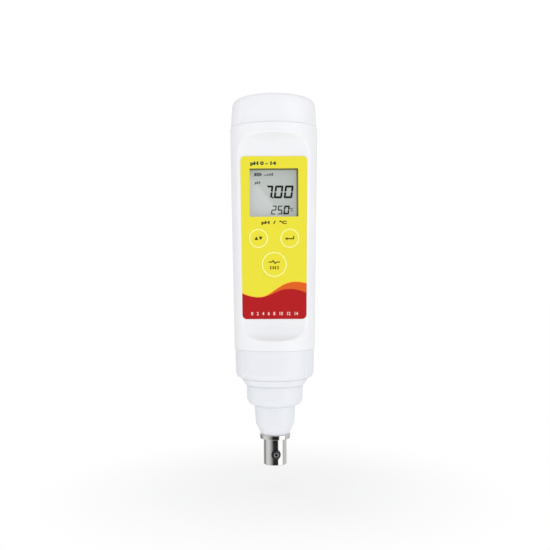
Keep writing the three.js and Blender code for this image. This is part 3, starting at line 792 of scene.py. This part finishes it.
def build_film():
    """One sheet, its printed areas being groups of its triangles."""
    corners = [(-13.1, 61.7), (13.1, 61.7), (13.75, 128.5), (-13.75, 128.5)]
    outline = fillet(corners, 1.8, steps=10)
    holes = [rounded_rect(-10.0, 10.0, 103.7, 123.5, 0.35, 5)]
    holes += [circle(x, z, radius + KEY_GAP) for x, z, radius, _ in KEYS.values()]
    stripe_top = [(x, z + STRIPE) for x, z in WAVE_TOP]
    points, edges = [], []
    for line in (outline, *holes, WAVE_TOP, stripe_top, WAVE_LOW):
        first, last = len(points), len(points) + len(line) - 1
        points += [Vector(p) for p in line]
        edges += [(i, i + 1) for i in range(first, last)]
        if line is outline or line in holes:
            edges.append((last, first))
    flat, _, cells, _, _, _ = delaunay_2d_cdt(points, edges, [], 0, 1e-5)

    triangles, inks = [], []
    for cell in cells:
        middle = tuple(sum(flat[i][axis] for i in cell) / len(cell) for axis in (0, 1))
        if in_loop(middle, outline) and not any(in_loop(middle, hole) for hole in holes):
            triangles.append(tuple(cell))
            inks.append(ink_at(*middle))
    used = sorted({i for t in triangles for i in t})
    place = {old: new for new, old in enumerate(used)}
    n = len(used)
    triangles = [tuple(place[i] for i in t) for t in triangles]
    uses = {}
    for t in triangles:
        for edge in zip(t, t[1:] + t[:1]):
            uses[frozenset(edge)] = uses.get(frozenset(edge), 0) + 1

    verts = [(flat[i][0], y, flat[i][1]) for y in (FILM_Y, FLAT_Y) for i in used]
    faces, ids = [], []
    for t, ink in zip(triangles, inks):
        new = [t, tuple(i + n for i in reversed(t))]
        new += [(b, a, a + n, b + n) for a, b in zip(t, t[1:] + t[:1])
                if uses[frozenset((a, b))] == 1]
        faces += new
        ids += [ink] * len(new)
    put("face_film_print", verts, faces, [YELLOW, ORANGE, RED, AMBER], ids, sharp=30,
        node="face_film")


build_film()


# ------------------------------------------------------------------ window and display
def build_window():
    """A plate with a rounded front edge."""
    loop = rounded_rect(-11.6, 11.6, 102.1, 125.1, 0.8)
    y_front, y_back, edge = -10.78, -9.85, 0.1
    n = len(loop)
    cx, cz = sum(p[0] for p in loop) / n, sum(p[1] for p in loop) / n

    rings = [[(x, y_back, z) for x, z in loop]]
    for a in (0, *QUARTER):
        inset, y = edge * (1 - math.cos(a)), y_front + edge * (1 - math.sin(a))
        ring = []
        for x, z in loop:
            reach = math.hypot(x - cx, z - cz)
            share = (reach - inset) / reach
            ring.append((cx + (x - cx) * share, y, cz + (z - cz) * share))
        rings.append(ring)
    front = rings[-1]
    for share in (0.75, 0.5, 0.25):
        rings.append([(cx + (x - cx) * share, y_front, cz + (z - cz) * share)
                      for x, _, z in front])
    verts, faces, _ = join_rings(rings + [[(cx, y_front, cz)]])
    verts.append((cx, y_back, cz))
    faces += [((k + 1) % n, k, len(verts) - 1) for k in range(n)]
    put("display_window_clear", verts, faces, [CLEAR], node="display_window")


def build_display():
    """A block whose front shows the reflector inside a dark border. The reflector sits low and to
    the left, so in the window the border shows only as bands at the top and right, painted shadow
    of the window's edge.
    """
    xs = [-12.0, *np.linspace(-10.6, 9.28, 9), 12.0]
    zs = [102.0, *np.linspace(102.9, 123.02, 9), 125.2]
    columns, rows = len(xs), len(zs)
    layer = columns * rows
    verts = [(x, y, z) for y in (-8.7, -7.1) for z in zs for x in xs]
    faces = grid_faces(columns, rows)
    # material 1 is the border, which shows as painted shadow at the top and right of the window
    ids = [0 if 0 < i < columns - 2 and 0 < j < rows - 2 else 1
           for j in range(rows - 1) for i in range(columns - 1)]
    faces += grid_faces(columns, rows, first=layer)
    rim = [*range(columns), *range(2 * columns - 1, layer, columns),
           *range(layer - 2, layer - columns - 1, -1),
           *range(layer - 2 * columns, 0, -columns)]
    faces += [(a, b, b + layer, a + layer) for a, b in zip(rim, rim[1:] + rim[:1])]
    ids += [1] * (len(faces) - len(ids))
    put("display_module", verts, faces, [LCD, SHADOW_BAND], ids, sharp=None, node="lcd_glass")


build_window()
build_display()

# ------------------------------------------------------------------ display segments
SEGMENT_Y, SEGMENT_DEPTH = -8.72, 0.018
# strokes: a top, b and c right, d bottom, e and f left, g middle
STROKES = {"0": "abcdef", "2": "abged", "5": "afgcd", "7": "abc"}
LARGE_Z, LARGE_HEIGHT = 111.4, 5.3
SMALL_Z, SMALL_HEIGHT = 104.75, 3.65


def digit(character, x0, z0, width, height, stroke, gap, lean=0.13):
    """Seven-segment strokes as polygons with mitred ends."""
    x1, z1, middle = x0 + width, z0 + height, z0 + height / 2
    t = stroke

    def level(z, low, tip, rise, high):
        """A bar; low, tip and high are its insets and rise the tip's height, in strokes."""
        left, right = x0 + gap + t * 0.15, x1 - gap - t * 0.15
        return [(left + low * t, z - t / 2), (right - low * t, z - t / 2),
                (right - tip * t, z + rise * t), (right - high * t, z + t / 2),
                (left + high * t, z + t / 2), (left + tip * t, z + rise * t)]

    def upright(side, low, high):
        """side is 1 for the right of the digit and -1 for the left."""
        x = x1 - t / 2 if side > 0 else x0 + t / 2
        bar = [(x - side * t / 2, low + gap + t * 0.25), (x + side * t * 0.1, low + gap),
               (x + side * t / 2, low + gap + t * 0.1), (x + side * t / 2, high - gap - t * 0.1),
               (x + side * t * 0.1, high - gap), (x - side * t / 2, high - gap - t * 0.25)]
        return bar[::side]

    upper = (middle + gap / 2, z1 - t * 0.25)
    lower = (z0 + t * 0.25, middle - gap / 2)
    bars = {
        "a": level(z1 - t / 2, low=1, tip=-0.05, rise=0.35, high=0.2),
        "d": level(z0 + t / 2, low=0.2, tip=-0.05, rise=-0.35, high=1),
        "g": level(middle, low=0.5, tip=0, rise=0, high=0.5),
        "b": upright(1, *upper), "c": upright(1, *lower),
        "f": upright(-1, *upper), "e": upright(-1, *lower),
    }
    return [[(x + lean * (z - middle), z) for x, z in bars[key]] for key in STROKES[character]]


def build_segments():
    def segments(name, loops, material=SEGMENT, y_front=SEGMENT_Y):
        slabs(name, loops, y_front, SEGMENT_DEPTH, material, "barrel", "lcd")

    def unit(name, text, x, z, width, height):
        lettering(name, text, x, z, width, height, SEGMENT_Y, SEGMENT, bold=0.03,
                  depth=SEGMENT_DEPTH, slot="lcd")

    loops = []
    # character, left x, width, stroke
    for character, x, width, stroke in (("7", -3.45, 2.95, 0.84), ("0", 0.2, 3.45, 0.86),
                                        ("0", 4.3, 3.55, 0.86)):
        loops += digit(character, x, LARGE_Z, width, LARGE_HEIGHT, stroke, gap=0.05)
    loops.append(rounded_rect(-0.82, -0.16, LARGE_Z, 112.05, 0.2, 3))
    # character, left x, width, stroke, gap
    for character, x, width, stroke, gap in (("2", -1.05, 1.95, 0.42, 0.03),
                                             ("5", 1.5, 1.95, 0.44, 0.03),
                                             ("0", 4.0, 2.35, 0.66, 0.04)):
        loops += digit(character, x, SMALL_Z, width, SMALL_HEIGHT, stroke, gap)
    loops.append(rounded_rect(3.3, 3.7, SMALL_Z, 105.13, 0.1, 3))
    segments("display_digits", loops)

    # battery symbol and its tip, then six rising level bars
    icons = [rounded_rect(-8.1, -5.35, 120.62, 121.95, 0.2, 3),
             rounded_rect(-5.3, -4.95, 120.95, 121.62, 0.08, 3)]
    for i in range(6):
        x = -4.15 + 0.68 * i
        icons.append(rounded_rect(x, x + 0.46, 120.72, 121.1 + 0.17 * i, 0.06, 2))
    segments("display_icons", icons, SEGMENT_FAINT)
    unit("display_unit_ph", "pH", x=-6.8, z=117.75, width=2.15, height=1.4)
    unit("display_unit_c", "°C", x=7.2, z=106.75, width=1.4, height=1.45)
    # light gaps across the battery symbol
    lefts = [-7.9 + 0.66 * i for i in range(1, 4)]
    gaps = [rounded_rect(x, x + 0.12, 120.8, 121.78, 0.04, 2) for x in lefts]
    segments("display_battery_gaps", gaps, LCD, y_front=SEGMENT_Y - 0.02)


build_segments()

# name, text, x, z, width, height, ink, boldness
LEGENDS = [
    ("legend_range", "pH 0 - 14", -4.33, 125.4, 10.6, 1.95, TEAL, 0.06),
    ("legend_units", "pH  /  °C", 0.0, 101.15, 10.4, 1.75, OLIVE, 0.055),
    ("legend_scale", "0   2   4   6   8   10   12   14", 0.05, 63.95, 19.2, 1.4, PINK, 0.02),
]
for name, text, x, z, width, height, ink, bold in LEGENDS:
    lettering(name, text, x, z, width, height, FILM_Y - 0.015, ink, bold)

# ------------------------------------------------------------------ keys
# x0, x1, z0, z1 of the hold symbol's left and right brackets
BRACKETS = [
    (-1.75, -1.43, -1.98, -0.72), (-1.42, -1.05, -1.98, -1.70), (-1.42, -1.05, -1.0, -0.72),
    (1.43, 1.75, -1.98, -0.72), (1.05, 1.42, -1.98, -1.70), (1.05, 1.42, -1.0, -0.72),
]
# outlines round each key's centre
SYMBOLS = {
    # arrows up and down
    "cal": [[(-1.65, -0.66), (-0.1, -0.66), (-0.875, 0.78)],
            [(0.1, 0.7), (0.875, -0.74), (1.65, 0.7)]],
    # return arrow
    "enter": [[(-2.0, -0.2), (-0.95, -0.85), (-0.95, 0.45)],
              rounded_rect(-0.94, 1.8, -0.42, 0.02, 0.02, 1),
              rounded_rect(1.36, 1.8, 0.04, 0.92, 0.02, 1)],
    # a trace over two bars between brackets
    "meas": [ribbon([(-2.3, 0.95), (-1.0, 0.95), (-0.5, 1.55), (0.35, 0.4), (0.85, 0.95),
                     (2.3, 0.95)], width=0.42),
             *(rounded_rect(x - 0.24, x + 0.24, -1.98, -0.72, 0.06, 2) for x in (-0.42, 0.42)),
             *(rounded_rect(*box, 0.03, 1) for box in BRACKETS)],
}


def build_key(key, x, z, radius):
    """A slightly crowned disc with an embossed pale ring and a plain symbol."""
    profile = [(0.0, FLAT_Y - 0.01), (radius - 0.03, FLAT_Y - 0.01), (radius, FLAT_Y - 0.05),
               (radius, FILM_Y + 0.02)]
    outer, inner, emboss = radius - 0.015, radius - 0.56, 0.09
    for i in range(7):
        a = math.pi * i / 6
        profile.append(((outer + inner) / 2 + (outer - inner) / 2 * math.cos(a),
                        FILM_Y - emboss * math.sin(a)))
    profile += [(inner - 0.25, FILM_Y), (radius * 0.6, FILM_Y - 0.03),
                (radius * 0.3, FILM_Y - 0.05), (0.0, FILM_Y - 0.055)]
    pad = key + "_key_pad"
    turned_y(key + "_key_film", pad, [YELLOW, RING], profile, x, z, count=96,
             second=range(4, 10), sharp=50)
    loops = [[(x + px, z + pz) for px, pz in loop] for loop in SYMBOLS[key]]
    slabs(key + "_key_symbol", loops, FILM_Y - 0.075, 0.03, OLIVE, body_of(pad), "film")


def build_plunger(key, x, z, radius):
    """The stepped plunger behind a key, and the switch stem behind that."""
    head = radius - 0.55
    plunger = [(0, -10.78), (head, -10.78), (head, -9.6), (1.4, -9.6), (1.4, -7.02), (0, -7.02)]
    stem = [(0, -7.0), (1.2, -7.0), (1.2, -6.05), (0, -6.05)]
    for part, node, material, profile in (("plunger", "key_plunger", INNER, plunger),
                                          ("stem", "switch_stem", BLACK, stem)):
        rings = fillet(profile, 0.1, closed=False, steps=3)
        turned_y(f"{key}_{part}_fine", f"{key}_{node}", [material], rings, x, z)


for build in (build_key, build_plunger):
    for key, (x, z, radius, _) in KEYS.items():
        build(key, x, z, radius)

# ------------------------------------------------------------------ battery cap
CAP_LOW, CAP_HIGH = 141.4, 155.2
# z, radius of the outside over the grip pads
CAP_SIDE = [
    (CAP_LOW, 17.97), (141.47, 18.07), (141.6, 18.14), (143.0, 18.07), (145.0, 17.93),
    (147.0, 17.79), (148.6, 17.68), (149.6, 17.62), (150.6, 17.55), (151.3, 17.38),
    (151.9, 17.14), (152.4, 16.84), (152.8, 16.4), (153.15, 15.9), (153.4, 15.35),
    (153.67, 14.55), (153.95, 13.4), (154.25, 11.9), (154.55, 10.0), (154.85, 7.9),
    (155.05, 6.6), (155.17, 5.3), (CAP_HIGH, 4.6),
]


def build_cap():
    phi = banded_angles(start=46, stop=54, fine=0.2)
    pad, groove = grip(phi, edge=50.0, groove_depth=0.08)
    # (radius, z): ceiling and inner wall, thread, lip
    rings = [(0.0, 153.35), (6.0, 153.35), (11.4, 153.35), (11.65, 153.3), (11.78, 153.15),
             (11.8, 152.9), (11.8, 151.4), (12.1, 151.05), (14.5, 150.45), (15.4, 150.1),
             (15.7, 149.9)]
    for z in np.arange(149.75, 141.95, -0.1):
        rings.append((15.75 - 0.68 * thread(phi, z, CAP_THREAD - 1.2, 144.4, 148.9), z))
    rings += [(15.78, 141.75), (15.9, 141.5), (16.1, 141.38), (17.0, 141.38), (17.6, 141.38)]
    # outside, relieved between the pads near the lip
    side_z, side_radius = np.array(CAP_SIDE).T
    stations = np.concatenate([[CAP_LOW, 141.47, 141.6, 142.2], np.linspace(142.8, 149.2, 16),
                               side_z[side_z > 149.4]])
    for z in stations.tolist():
        relief = (1 - smoothstep((z - 144.6) / 4.2)) * smoothstep((z - 141.0) / 0.3)
        radius = np.interp(z, side_z, side_radius)
        rings.append((radius - 0.32 * relief * (1 - pad) - groove * relief, z))
    rings += [(2.5, CAP_HIGH), (0.0, CAP_HIGH)]
    wrap("battery_cap_skin", rings, phi, WHITE, closed=False, sharp=40, node="battery_cap")


build_cap()

# contact disc with its two guide pegs, and the spring plate under it
turned("contact_disc_fine", "contact_disc", INNER, [
    (0, 151.95), (11.4, 151.95), (11.4, 153.2), (9.6, 153.2), (9.2, 152.75), (3.0, 152.75),
    (2.6, 153.2), (0, 153.2)], rounding=0.15, count=128)
for i, x in enumerate((-PEG_X, PEG_X)):
    turned(f"contact_disc_peg_{i + 1}", None, INNER, [
        (0, 145.6), (0.85, 145.6), (1.1, 146.0), (1.1, 151.6), (1.35, 151.96), (0, 151.96)],
        count=40, centre=(x, 0), body="cap_carrier", slot="inner_plastic")
turned("contact_plate_fine", "contact_plate", NICKEL, [
    (0, 151.4), (2.6, 151.4), (3.1, 151.45), (3.7, 151.66), (7.6, 151.66), (8.2, 151.72),
    (8.2, 151.93), (3.6, 151.93), (2.9, 151.6), (0, 151.6)], rounding=0.05)


# ------------------------------------------------------------------ battery neck
def build_neck():
    phi = even_angles(180) - math.pi
    # (radius, z): underside, flange and O-ring groove, thread, rim and bore
    rings = fillet([
        (1.2, 126.9), (7.5, 126.9), (7.5, 147.5), (12.6, 147.5), (12.6, 138.7), (16.15, 138.7),
        (16.15, BARREL_HIGH), (14.65, BARREL_HIGH), (14.65, 141.9), (14.0, 141.9),
        (14.0, 143.4), (14.62, 143.4)], 0.14, closed=False, steps=3)
    for z in np.arange(143.6, 148.75, 0.1):
        rings.append((14.62 + 0.83 * thread(phi, z, CAP_THREAD, CAP_THREAD, 148.3, flank=0.32), z))
    rings += [(14.6, 148.95), (14.45, 149.15), (14.2, 149.27), (13.8, 149.3), (10, 149.3),
              (6.35, 149.3), (6.18, 149.22), (6.1, 149.05), (6.1, 138), (6.1, 128.3),
              (6.0, 128.2), (1.3, 128.2), (1.2, 128.1), (1.2, 127.0)]
    neck = wrap("battery_neck_skin", rings, phi, WHITE, node="battery_neck")
    stations = [(145.8, 1.4), (150.5, 1.4)]
    cut(neck, *(bore("peg_hole", x, 0, stations) for x in (-PEG_X, PEG_X)))


build_neck()

torus("cap_o_ring_fine", "cap_o_ring", RUBBER, ring_radius=14.85, tube_radius=0.72, z=142.65)
torus("adapter_o_ring_fine", "adapter_o_ring", RUBBER, ring_radius=11.25, tube_radius=0.72,
      z=43.85)

# button cells: radius, height above the cell's base
CELL = [(0, 0), (4.6, 0), (4.85, 0.15), (4.95, 0.55), (5.55, 0.75), (5.75, 1.0), (5.75, 5.1),
        (5.5, 5.35), (3.6, 5.35), (3.4, 5.3), (0, 5.3)]
CELL_BASE, CELL_PITCH = 129.75, 5.4
for i in range(4):
    base = CELL_BASE + CELL_PITCH * i
    turned(f"button_cell_{i + 1}_fine", f"button_cell_{i + 1}", STEEL,
           [(radius, base + height) for radius, height in CELL], rounding=0.14)

# ------------------------------------------------------------------ probe socket and pins
socket = turned("probe_socket_fine", "probe_socket", BLACK, [
    (0, 47.3), (11.2, 47.3), (12.0, 47.9), (12.0, 51.3), (0, 51.3)], rounding=0.2, count=120)
cut(socket, *(bore("socket_hole", x, y, [(46.8, 1.75), (47.7, 1.35), (51.8, 1.35)])
              for x, y in PINS))

for i, pin in enumerate(PINS):
    turned(f"socket_contact_{i + 1}_fine", f"socket_contact_{i + 1}", GOLD, [
        (0, 50.4), (0.78, 50.4), (0.78, 47.6), (1.2, 47.6), (1.2, 52.2), (0.8, 52.6), (0, 52.6)],
        rounding=0.08, count=48, centre=pin)
    turned(f"adapter_pin_{i + 1}_fine", f"adapter_pin_{i + 1}", GOLD, [
        (0, 42.6), (0.6, 42.6), (0.6, 49.2), (0.35, 49.8), (0, 49.8)],
        rounding=0.14, count=48, centre=pin)

# ------------------------------------------------------------------ adapter
# radius, z, corner radius: down the outside, then up the bore
turned("adapter_housing_skin", "adapter_housing", WHITE_LOW, [
    (9.8, 46.4, 0.15), (11.9, 46.2, 0.5), (11.9, 44.7, 0.12), (10.45, 44.7, 0.12),
    (10.45, 43.0, 0.12), (11.9, 43.0, 0.12), (11.9, 40.95, 0.1), (13.9, 40.95, 0.25),
    (13.9, 38.95, 0.25), (11.82, 38.95, 0.2), (11.82, 33.9, 0.1), (11.7, 33.72, 0.1),
    (11.7, 33.42, 0.1), (11.81, 33.24, 0.1), (11.72, 27.6, 1.6), (10.75, 25.62, 1.6),
    (9.1, 25.2, 0.4), (8.72, 25.08, 0.08), (8.42, 24.98, 0.1), (8.42, 24.72, 0.1),
    (8.58, 24.55, 0.1), (8.05, 17.3, 1.2), (5.95, 13.0, 0.35), (4.9, 13.0, 0.15),
    (4.9, 24.0, 0.1), (7.4, 24.2, 0.3), (9.8, 29.5, 0.6)], count=176, steps=7)
turned("pin_plate_fine", "pin_plate", BLACK, [
    (0, 44.4), (9.65, 44.4), (9.65, 46.0), (8.9, 46.0), (8.6, 45.75), (0, 45.75)])

# ------------------------------------------------------------------ bayonet jack
turned("jack_shell_fine", "bnc_shell", NICKEL, [
    (4.05, 0.12, 0.06), (4.15, 0.0, 0.05), (4.62, 0.0, 0.1), (JACK_RADIUS, 0.24, 0.16),
    (JACK_RADIUS, 10.85, 0.07), (6.38, 10.97, 0.16), (6.4, 11.8, 0.1), (6.4, 12.78, 0.14),
    (5.2, 12.8, 0.1), (4.72, 12.4, 0.1), (4.72, 28.2, 0.15), (3.2, 28.2, 0.1),
    (3.2, 12.6, 0.08), (4.05, 12.6, 0.08)], count=144, steps=5)

LUG_Z = 4.65
LUG_TURN = math.radians(4.5)   # the pair's turn round the jack
# radius round the lug's own axis, distance from the jack's axis
LUG = [
    (0.0, 4.1), (0.93, 4.1), (0.93, 4.3), (1.0, 4.84), (1.92, 4.84), (1.98, 4.9), (1.95, 4.97),
    (1.78, 5.03), (1.58, 5.07), (1.42, 5.14), (1.32, 5.26), (1.27, 5.4), (1.22, 5.52),
    (1.13, 5.59), (1.0, 5.62), (0.84, 5.62), (0.7, 5.59), (0.6, 5.52), (0.52, 5.4), (0.4, 5.32),
    (0.2, 5.28), (0.0, 5.27),
]
# the rim bands are painted mid-grey and the rest of the lug painted dark, as painted shade on the
# nickel
LUG_RIM = range(13, 17)  # bands in the lighter metal


def build_lug(place, side):
    """Round bayonet pin: flared foot, domed rim, dimpled end; side is -1 at the front."""
    turn_cos, turn_sin = math.cos(LUG_TURN), math.sin(LUG_TURN)
    rings = []
    for radius, height in LUG:
        ring = []
        for across, up in circle(0, 0, radius, count=1 if radius < 1e-6 else 64):
            # the foot wraps the jack, so points away from the middle drop back along the curve
            drop = 0.0
            if 4.5 <= height <= 5.05:
                drop = JACK_RADIUS - math.sqrt(JACK_RADIUS ** 2 - across * across)
            if radius > 1.3:
                up *= 1.1
            out = side * (height - drop)
            ring.append((across * turn_cos - out * turn_sin, across * turn_sin + out * turn_cos,
                         LUG_Z + up))
        rings.append(ring)
    # painted shade: grey nickel on the rim bands, dark nickel on the foot and the dimple
    verts, faces, ids = join_rings(rings, second=set(range(len(LUG))) - set(LUG_RIM))
    put(f"bayonet_lug_{place}_fine", verts, faces, [NICKEL_PAINTED_GREY, NICKEL_PAINTED_DARK], ids, sharp=40,
        node=f"bayonet_lug_{place}")


build_lug("front", -1)
build_lug("rear", 1)

turned("insulator_fine", "bnc_insulator", PTFE, [
    (0.95, 0.8, 0.05), (2.1, 0.8), (2.4, 1.1), (2.4, 9.2), (3.95, 9.2), (3.95, 12.4),
    (3.1, 12.4), (3.1, 27.6), (0.95, 27.6, 0.05)], rounding=0.1)
turned("centre_contact_fine", "centre_contact", GOLD, [
    (0, 8.0), (0.36, 8.0), (0.36, 1.1), (0.62, 1.1), (0.72, 1.3), (0.72, 30.0), (0, 30.0)],
    rounding=0.05, count=48)
turned("flange_gasket_fine", "flange_gasket", GASKET, [
    (4.95, 12.82), (6.02, 12.82), (6.02, 12.98), (4.95, 12.98)], rounding=0.05)
turned("lock_washer_fine", "lock_washer", STEEL, [
    (4.85, 24.3), (6.6, 24.3), (6.6, 24.7), (4.85, 24.7)], rounding=0.06, count=72)

# ------------------------------------------------------------------ union collar
# z, radius of the outside between the pads, then over them
COLLAR_BASE = [
    (36.5, 13.98), (36.6, 14.27), (36.75, 14.47), (36.95, 14.72), (37.25, 15.0), (37.6, 15.27),
    (38.0, 15.52), (38.5, 15.74), (39.1, 15.9), (39.9, 16.0), (41.0, 16.06), (44.0, 16.15),
    (48.25, 16.27),
]
COLLAR_PAD = [
    (36.9, 14.9), (37.1, 15.35), (37.3, 15.66), (37.6, 15.9), (38.0, 16.09), (38.6, 16.24),
    (39.3, 16.35), (41.0, 16.42), (44.0, 16.5), (48.25, 16.61),
]
PAD_LOW = 36.95


def build_collar():
    phi = banded_angles(start=48, stop=56, fine=0.2)
    pad, groove = grip(phi, edge=52.0, groove_depth=0.09)
    # (radius, z): lower bore and lip, with a fine step outside it
    rings = [(12.2, 38.65), (12.2, 36.0), (12.2, 34.25), (12.24, 33.98), (12.33, 33.8),
             (12.44, 33.78), (12.6, 34.05), (13.2, 35.0), (13.72, 35.8), (13.86, 36.02),
             (13.9, 36.12), (13.84, 36.2), (13.7, 36.27), (13.62, 36.34), (13.62, 36.42),
             (13.72, 36.47)]
    stations = np.concatenate([np.linspace(36.5, 39.6, 26), np.linspace(40.2, 47.6, 12),
                               [47.9, 48.1, 48.25, 48.45, 48.6]])
    for z in stations.tolist():
        base = np.interp(z, *zip(*COLLAR_BASE))
        over = base if z < PAD_LOW else np.interp(z, *zip(*COLLAR_PAD))
        radius = np.maximum(base, base + (over - base) * pad)
        rings.append((radius - groove * smoothstep(z - 37.6), z))
    # top edge, thread, inner ledge
    base, over = COLLAR_BASE[-1][1], COLLAR_PAD[-1][1]
    top = base + (over - base) * pad - groove
    rings += [(top - 0.22 * (1 - math.cos(a)), 48.62 + 0.22 * math.sin(a)) for a in QUARTER]
    rings += [(15.5, 48.84), (15.1, 48.84), (14.93, 48.72), (14.86, 48.45)]
    for z in np.arange(48.2, 41.85, -0.1):
        rings.append((14.85 - 0.66 * thread(phi, z, PROBE_THREAD - 1.8, 42.5, 47.8), z))
    rings += [(14.8, 41.6), (14.3, 41.0), (14.3, 40.0), (14.3, 38.9), (14.15, 38.75),
              (12.35, 38.75)]
    wrap("union_collar_skin", rings, phi, WHITE_LOW, sharp=40, node="union_collar")


build_collar()


# ------------------------------------------------------------------ stage, in metres
def floor_material():
    """Pale and diffuse near the product, glowing white further out, clear from below."""
    m = Material("floor")
    tone = m.mix(m.span(m.noise(scale=9)), (0.955, 0.955, 0.955), (0.975, 0.975, 0.975))
    pale = m.node("ShaderNodeBsdfDiffuse", {"Color": tone}).outputs[0]
    glow = m.node("ShaderNodeEmission", {"Strength": 1.0}).outputs[0]
    away = m.node("ShaderNodeVectorMath", {0: m.coord}, operation="LENGTH").outputs["Value"]
    fade = m.span(away, low=0.55, high=1.0, start=0.02, stop=0.11,
                  interpolation_type="SMOOTHSTEP")
    clear = m.node("ShaderNodeBsdfTransparent").outputs[0]
    lit = m.mix_shader(fade, pale, glow)
    return m.surface(m.mix_shader(m.geometry("Backfacing"), lit, clear))


def build_floor():
    half, cells, z = 3.0, 6, -0.0098
    line = [(-1 + 2 * i / cells) * half for i in range(cells + 1)]
    material = floor_material()
    mesh = bpy.data.meshes.new("floor")
    mesh.from_pydata([(x, y, z) for y in line for x in line], [],
                     grid_faces(cells + 1, cells + 1))
    mesh.materials.append(material)
    floor = add_object("floor", mesh)
    floor.visible_glossy = False
    floor.visible_shadow = False


# degrees from the front towards +X, brightness of the reflected studio
STUDIO = [
    (-180, 0.58), (-156, 0.58), (-142, 0.42), (-132, 0.22), (-116, 0.31), (-104, 0.62),
    (-78, 0.76), (-52, 0.62), (-38, 0.38), (-24, 0.14), (-15, 0.022), (28, 0.020), (33, 0.9),
    (36, 1.25), (82, 1.25), (86, 0.32), (92, 0.38), (99, 0.80), (110, 0.80), (116, 0.38),
    (122, 0.40), (130, 0.78), (150, 0.70), (166, 0.50), (180, 0.58),
]


def build_world():
    """Separate surroundings for reflections, for diffuse light and for the camera."""
    world = bpy.data.worlds.new("studio")
    bpy.context.scene.world = world
    world.use_nodes = True
    world.node_tree.nodes.clear()
    w = Nodes(world.node_tree)

    def background(colour, strength=1.0):
        sockets = {"Color": colour, "Strength": strength}
        return w.node("ShaderNodeBackground", sockets).outputs[0]

    way = w.node("ShaderNodeTexCoord").outputs["Generated"]
    x, y, z = w.node("ShaderNodeSeparateXYZ", {0: way}).outputs
    # azimuth over the full turn as 0 to 1, with 0.5 at the front
    angle = w.math("ARCTAN2", x, w.math("MULTIPLY", y, -1.0))
    azimuth = w.math("ADD", w.math("DIVIDE", angle, 2 * math.pi), 0.5)
    ramp = w.node("ShaderNodeValToRGB", {"Fac": azimuth})
    stops = ramp.color_ramp.elements
    while len(stops) > 1:
        stops.remove(stops[-1])
    for i, (degrees, value) in enumerate(STUDIO):
        position = degrees / 360 + 0.5
        stop = stops[0] if i == 0 else stops.new(position)
        stop.position = position
        stop.color = (value, value, value * 0.995, 1)
    # overhead softbox and pale ground in the reflections
    overhead = w.span(z, start=0.55, stop=0.8)
    studio = w.mix(overhead, ramp.outputs[0], (1.1, 1.1, 1.1))
    ground = w.span(z, start=-0.5, stop=-0.8)
    studio = w.mix(ground, studio, (0.72, 0.72, 0.72))
    # soft room light, brighter from the front
    facing = w.node("ShaderNodeVectorMath", {0: way, 1: (0.07, -0.68, -0.02)},
                    operation="DOT_PRODUCT").outputs["Value"]
    room = w.span(facing, low=0.685, high=0.912, start=-0.8, stop=0.8)
    path = w.node("ShaderNodeLightPath").outputs
    light = w.mix_shader(path["Is Glossy Ray"], background((0.985, 0.99, 1.0), strength=room),
                         background(studio))
    seen = background((1.0, 1.0, 1.0), strength=1.02)
    surface = w.mix_shader(path["Is Camera Ray"], light, seen)
    w.node("ShaderNodeOutputWorld", {"Surface": surface})


def area_light(name, place, target, size, power):
    light = bpy.data.lights.new(name, "AREA")
    light.shape, light.size, light.energy = "DISK", size, power
    ob = add_object(name, light)
    ob.location = place
    ob.rotation_euler = (Vector(target) - Vector(place)).to_track_quat("-Z", "Y").to_euler()
    ob.visible_glossy = False
    ob.visible_camera = False


def build_camera():
    """In front of the product, level with the lower part of its face."""
    data = bpy.data.cameras.new("camera")
    camera = add_object("camera", data)
    bpy.context.scene.camera = camera
    data.sensor_width = 36.0
    data.lens = 52.363636
    data.shift_x = 0.0011818182
    data.shift_y = 0.0090909091
    data.clip_start, data.clip_end = 0.01, 50
    camera.location = (0, -0.339, 0.0777)
    camera.rotation_euler = (math.pi / 2, math.radians(0.27), 0)


build_floor()
build_world()
area_light("key_soft", place=(0.09, -0.55, 0.15), target=(0, 0, 0.08), size=0.24, power=0.26)
area_light("back_soft", place=(-0.30, 0.40, 0.40), target=(0, 0, 0.09), size=0.30, power=0.20)
build_camera()

bpy.context.scene.view_settings.view_transform = "Standard"
bpy.context.scene.view_settings.look = "None"
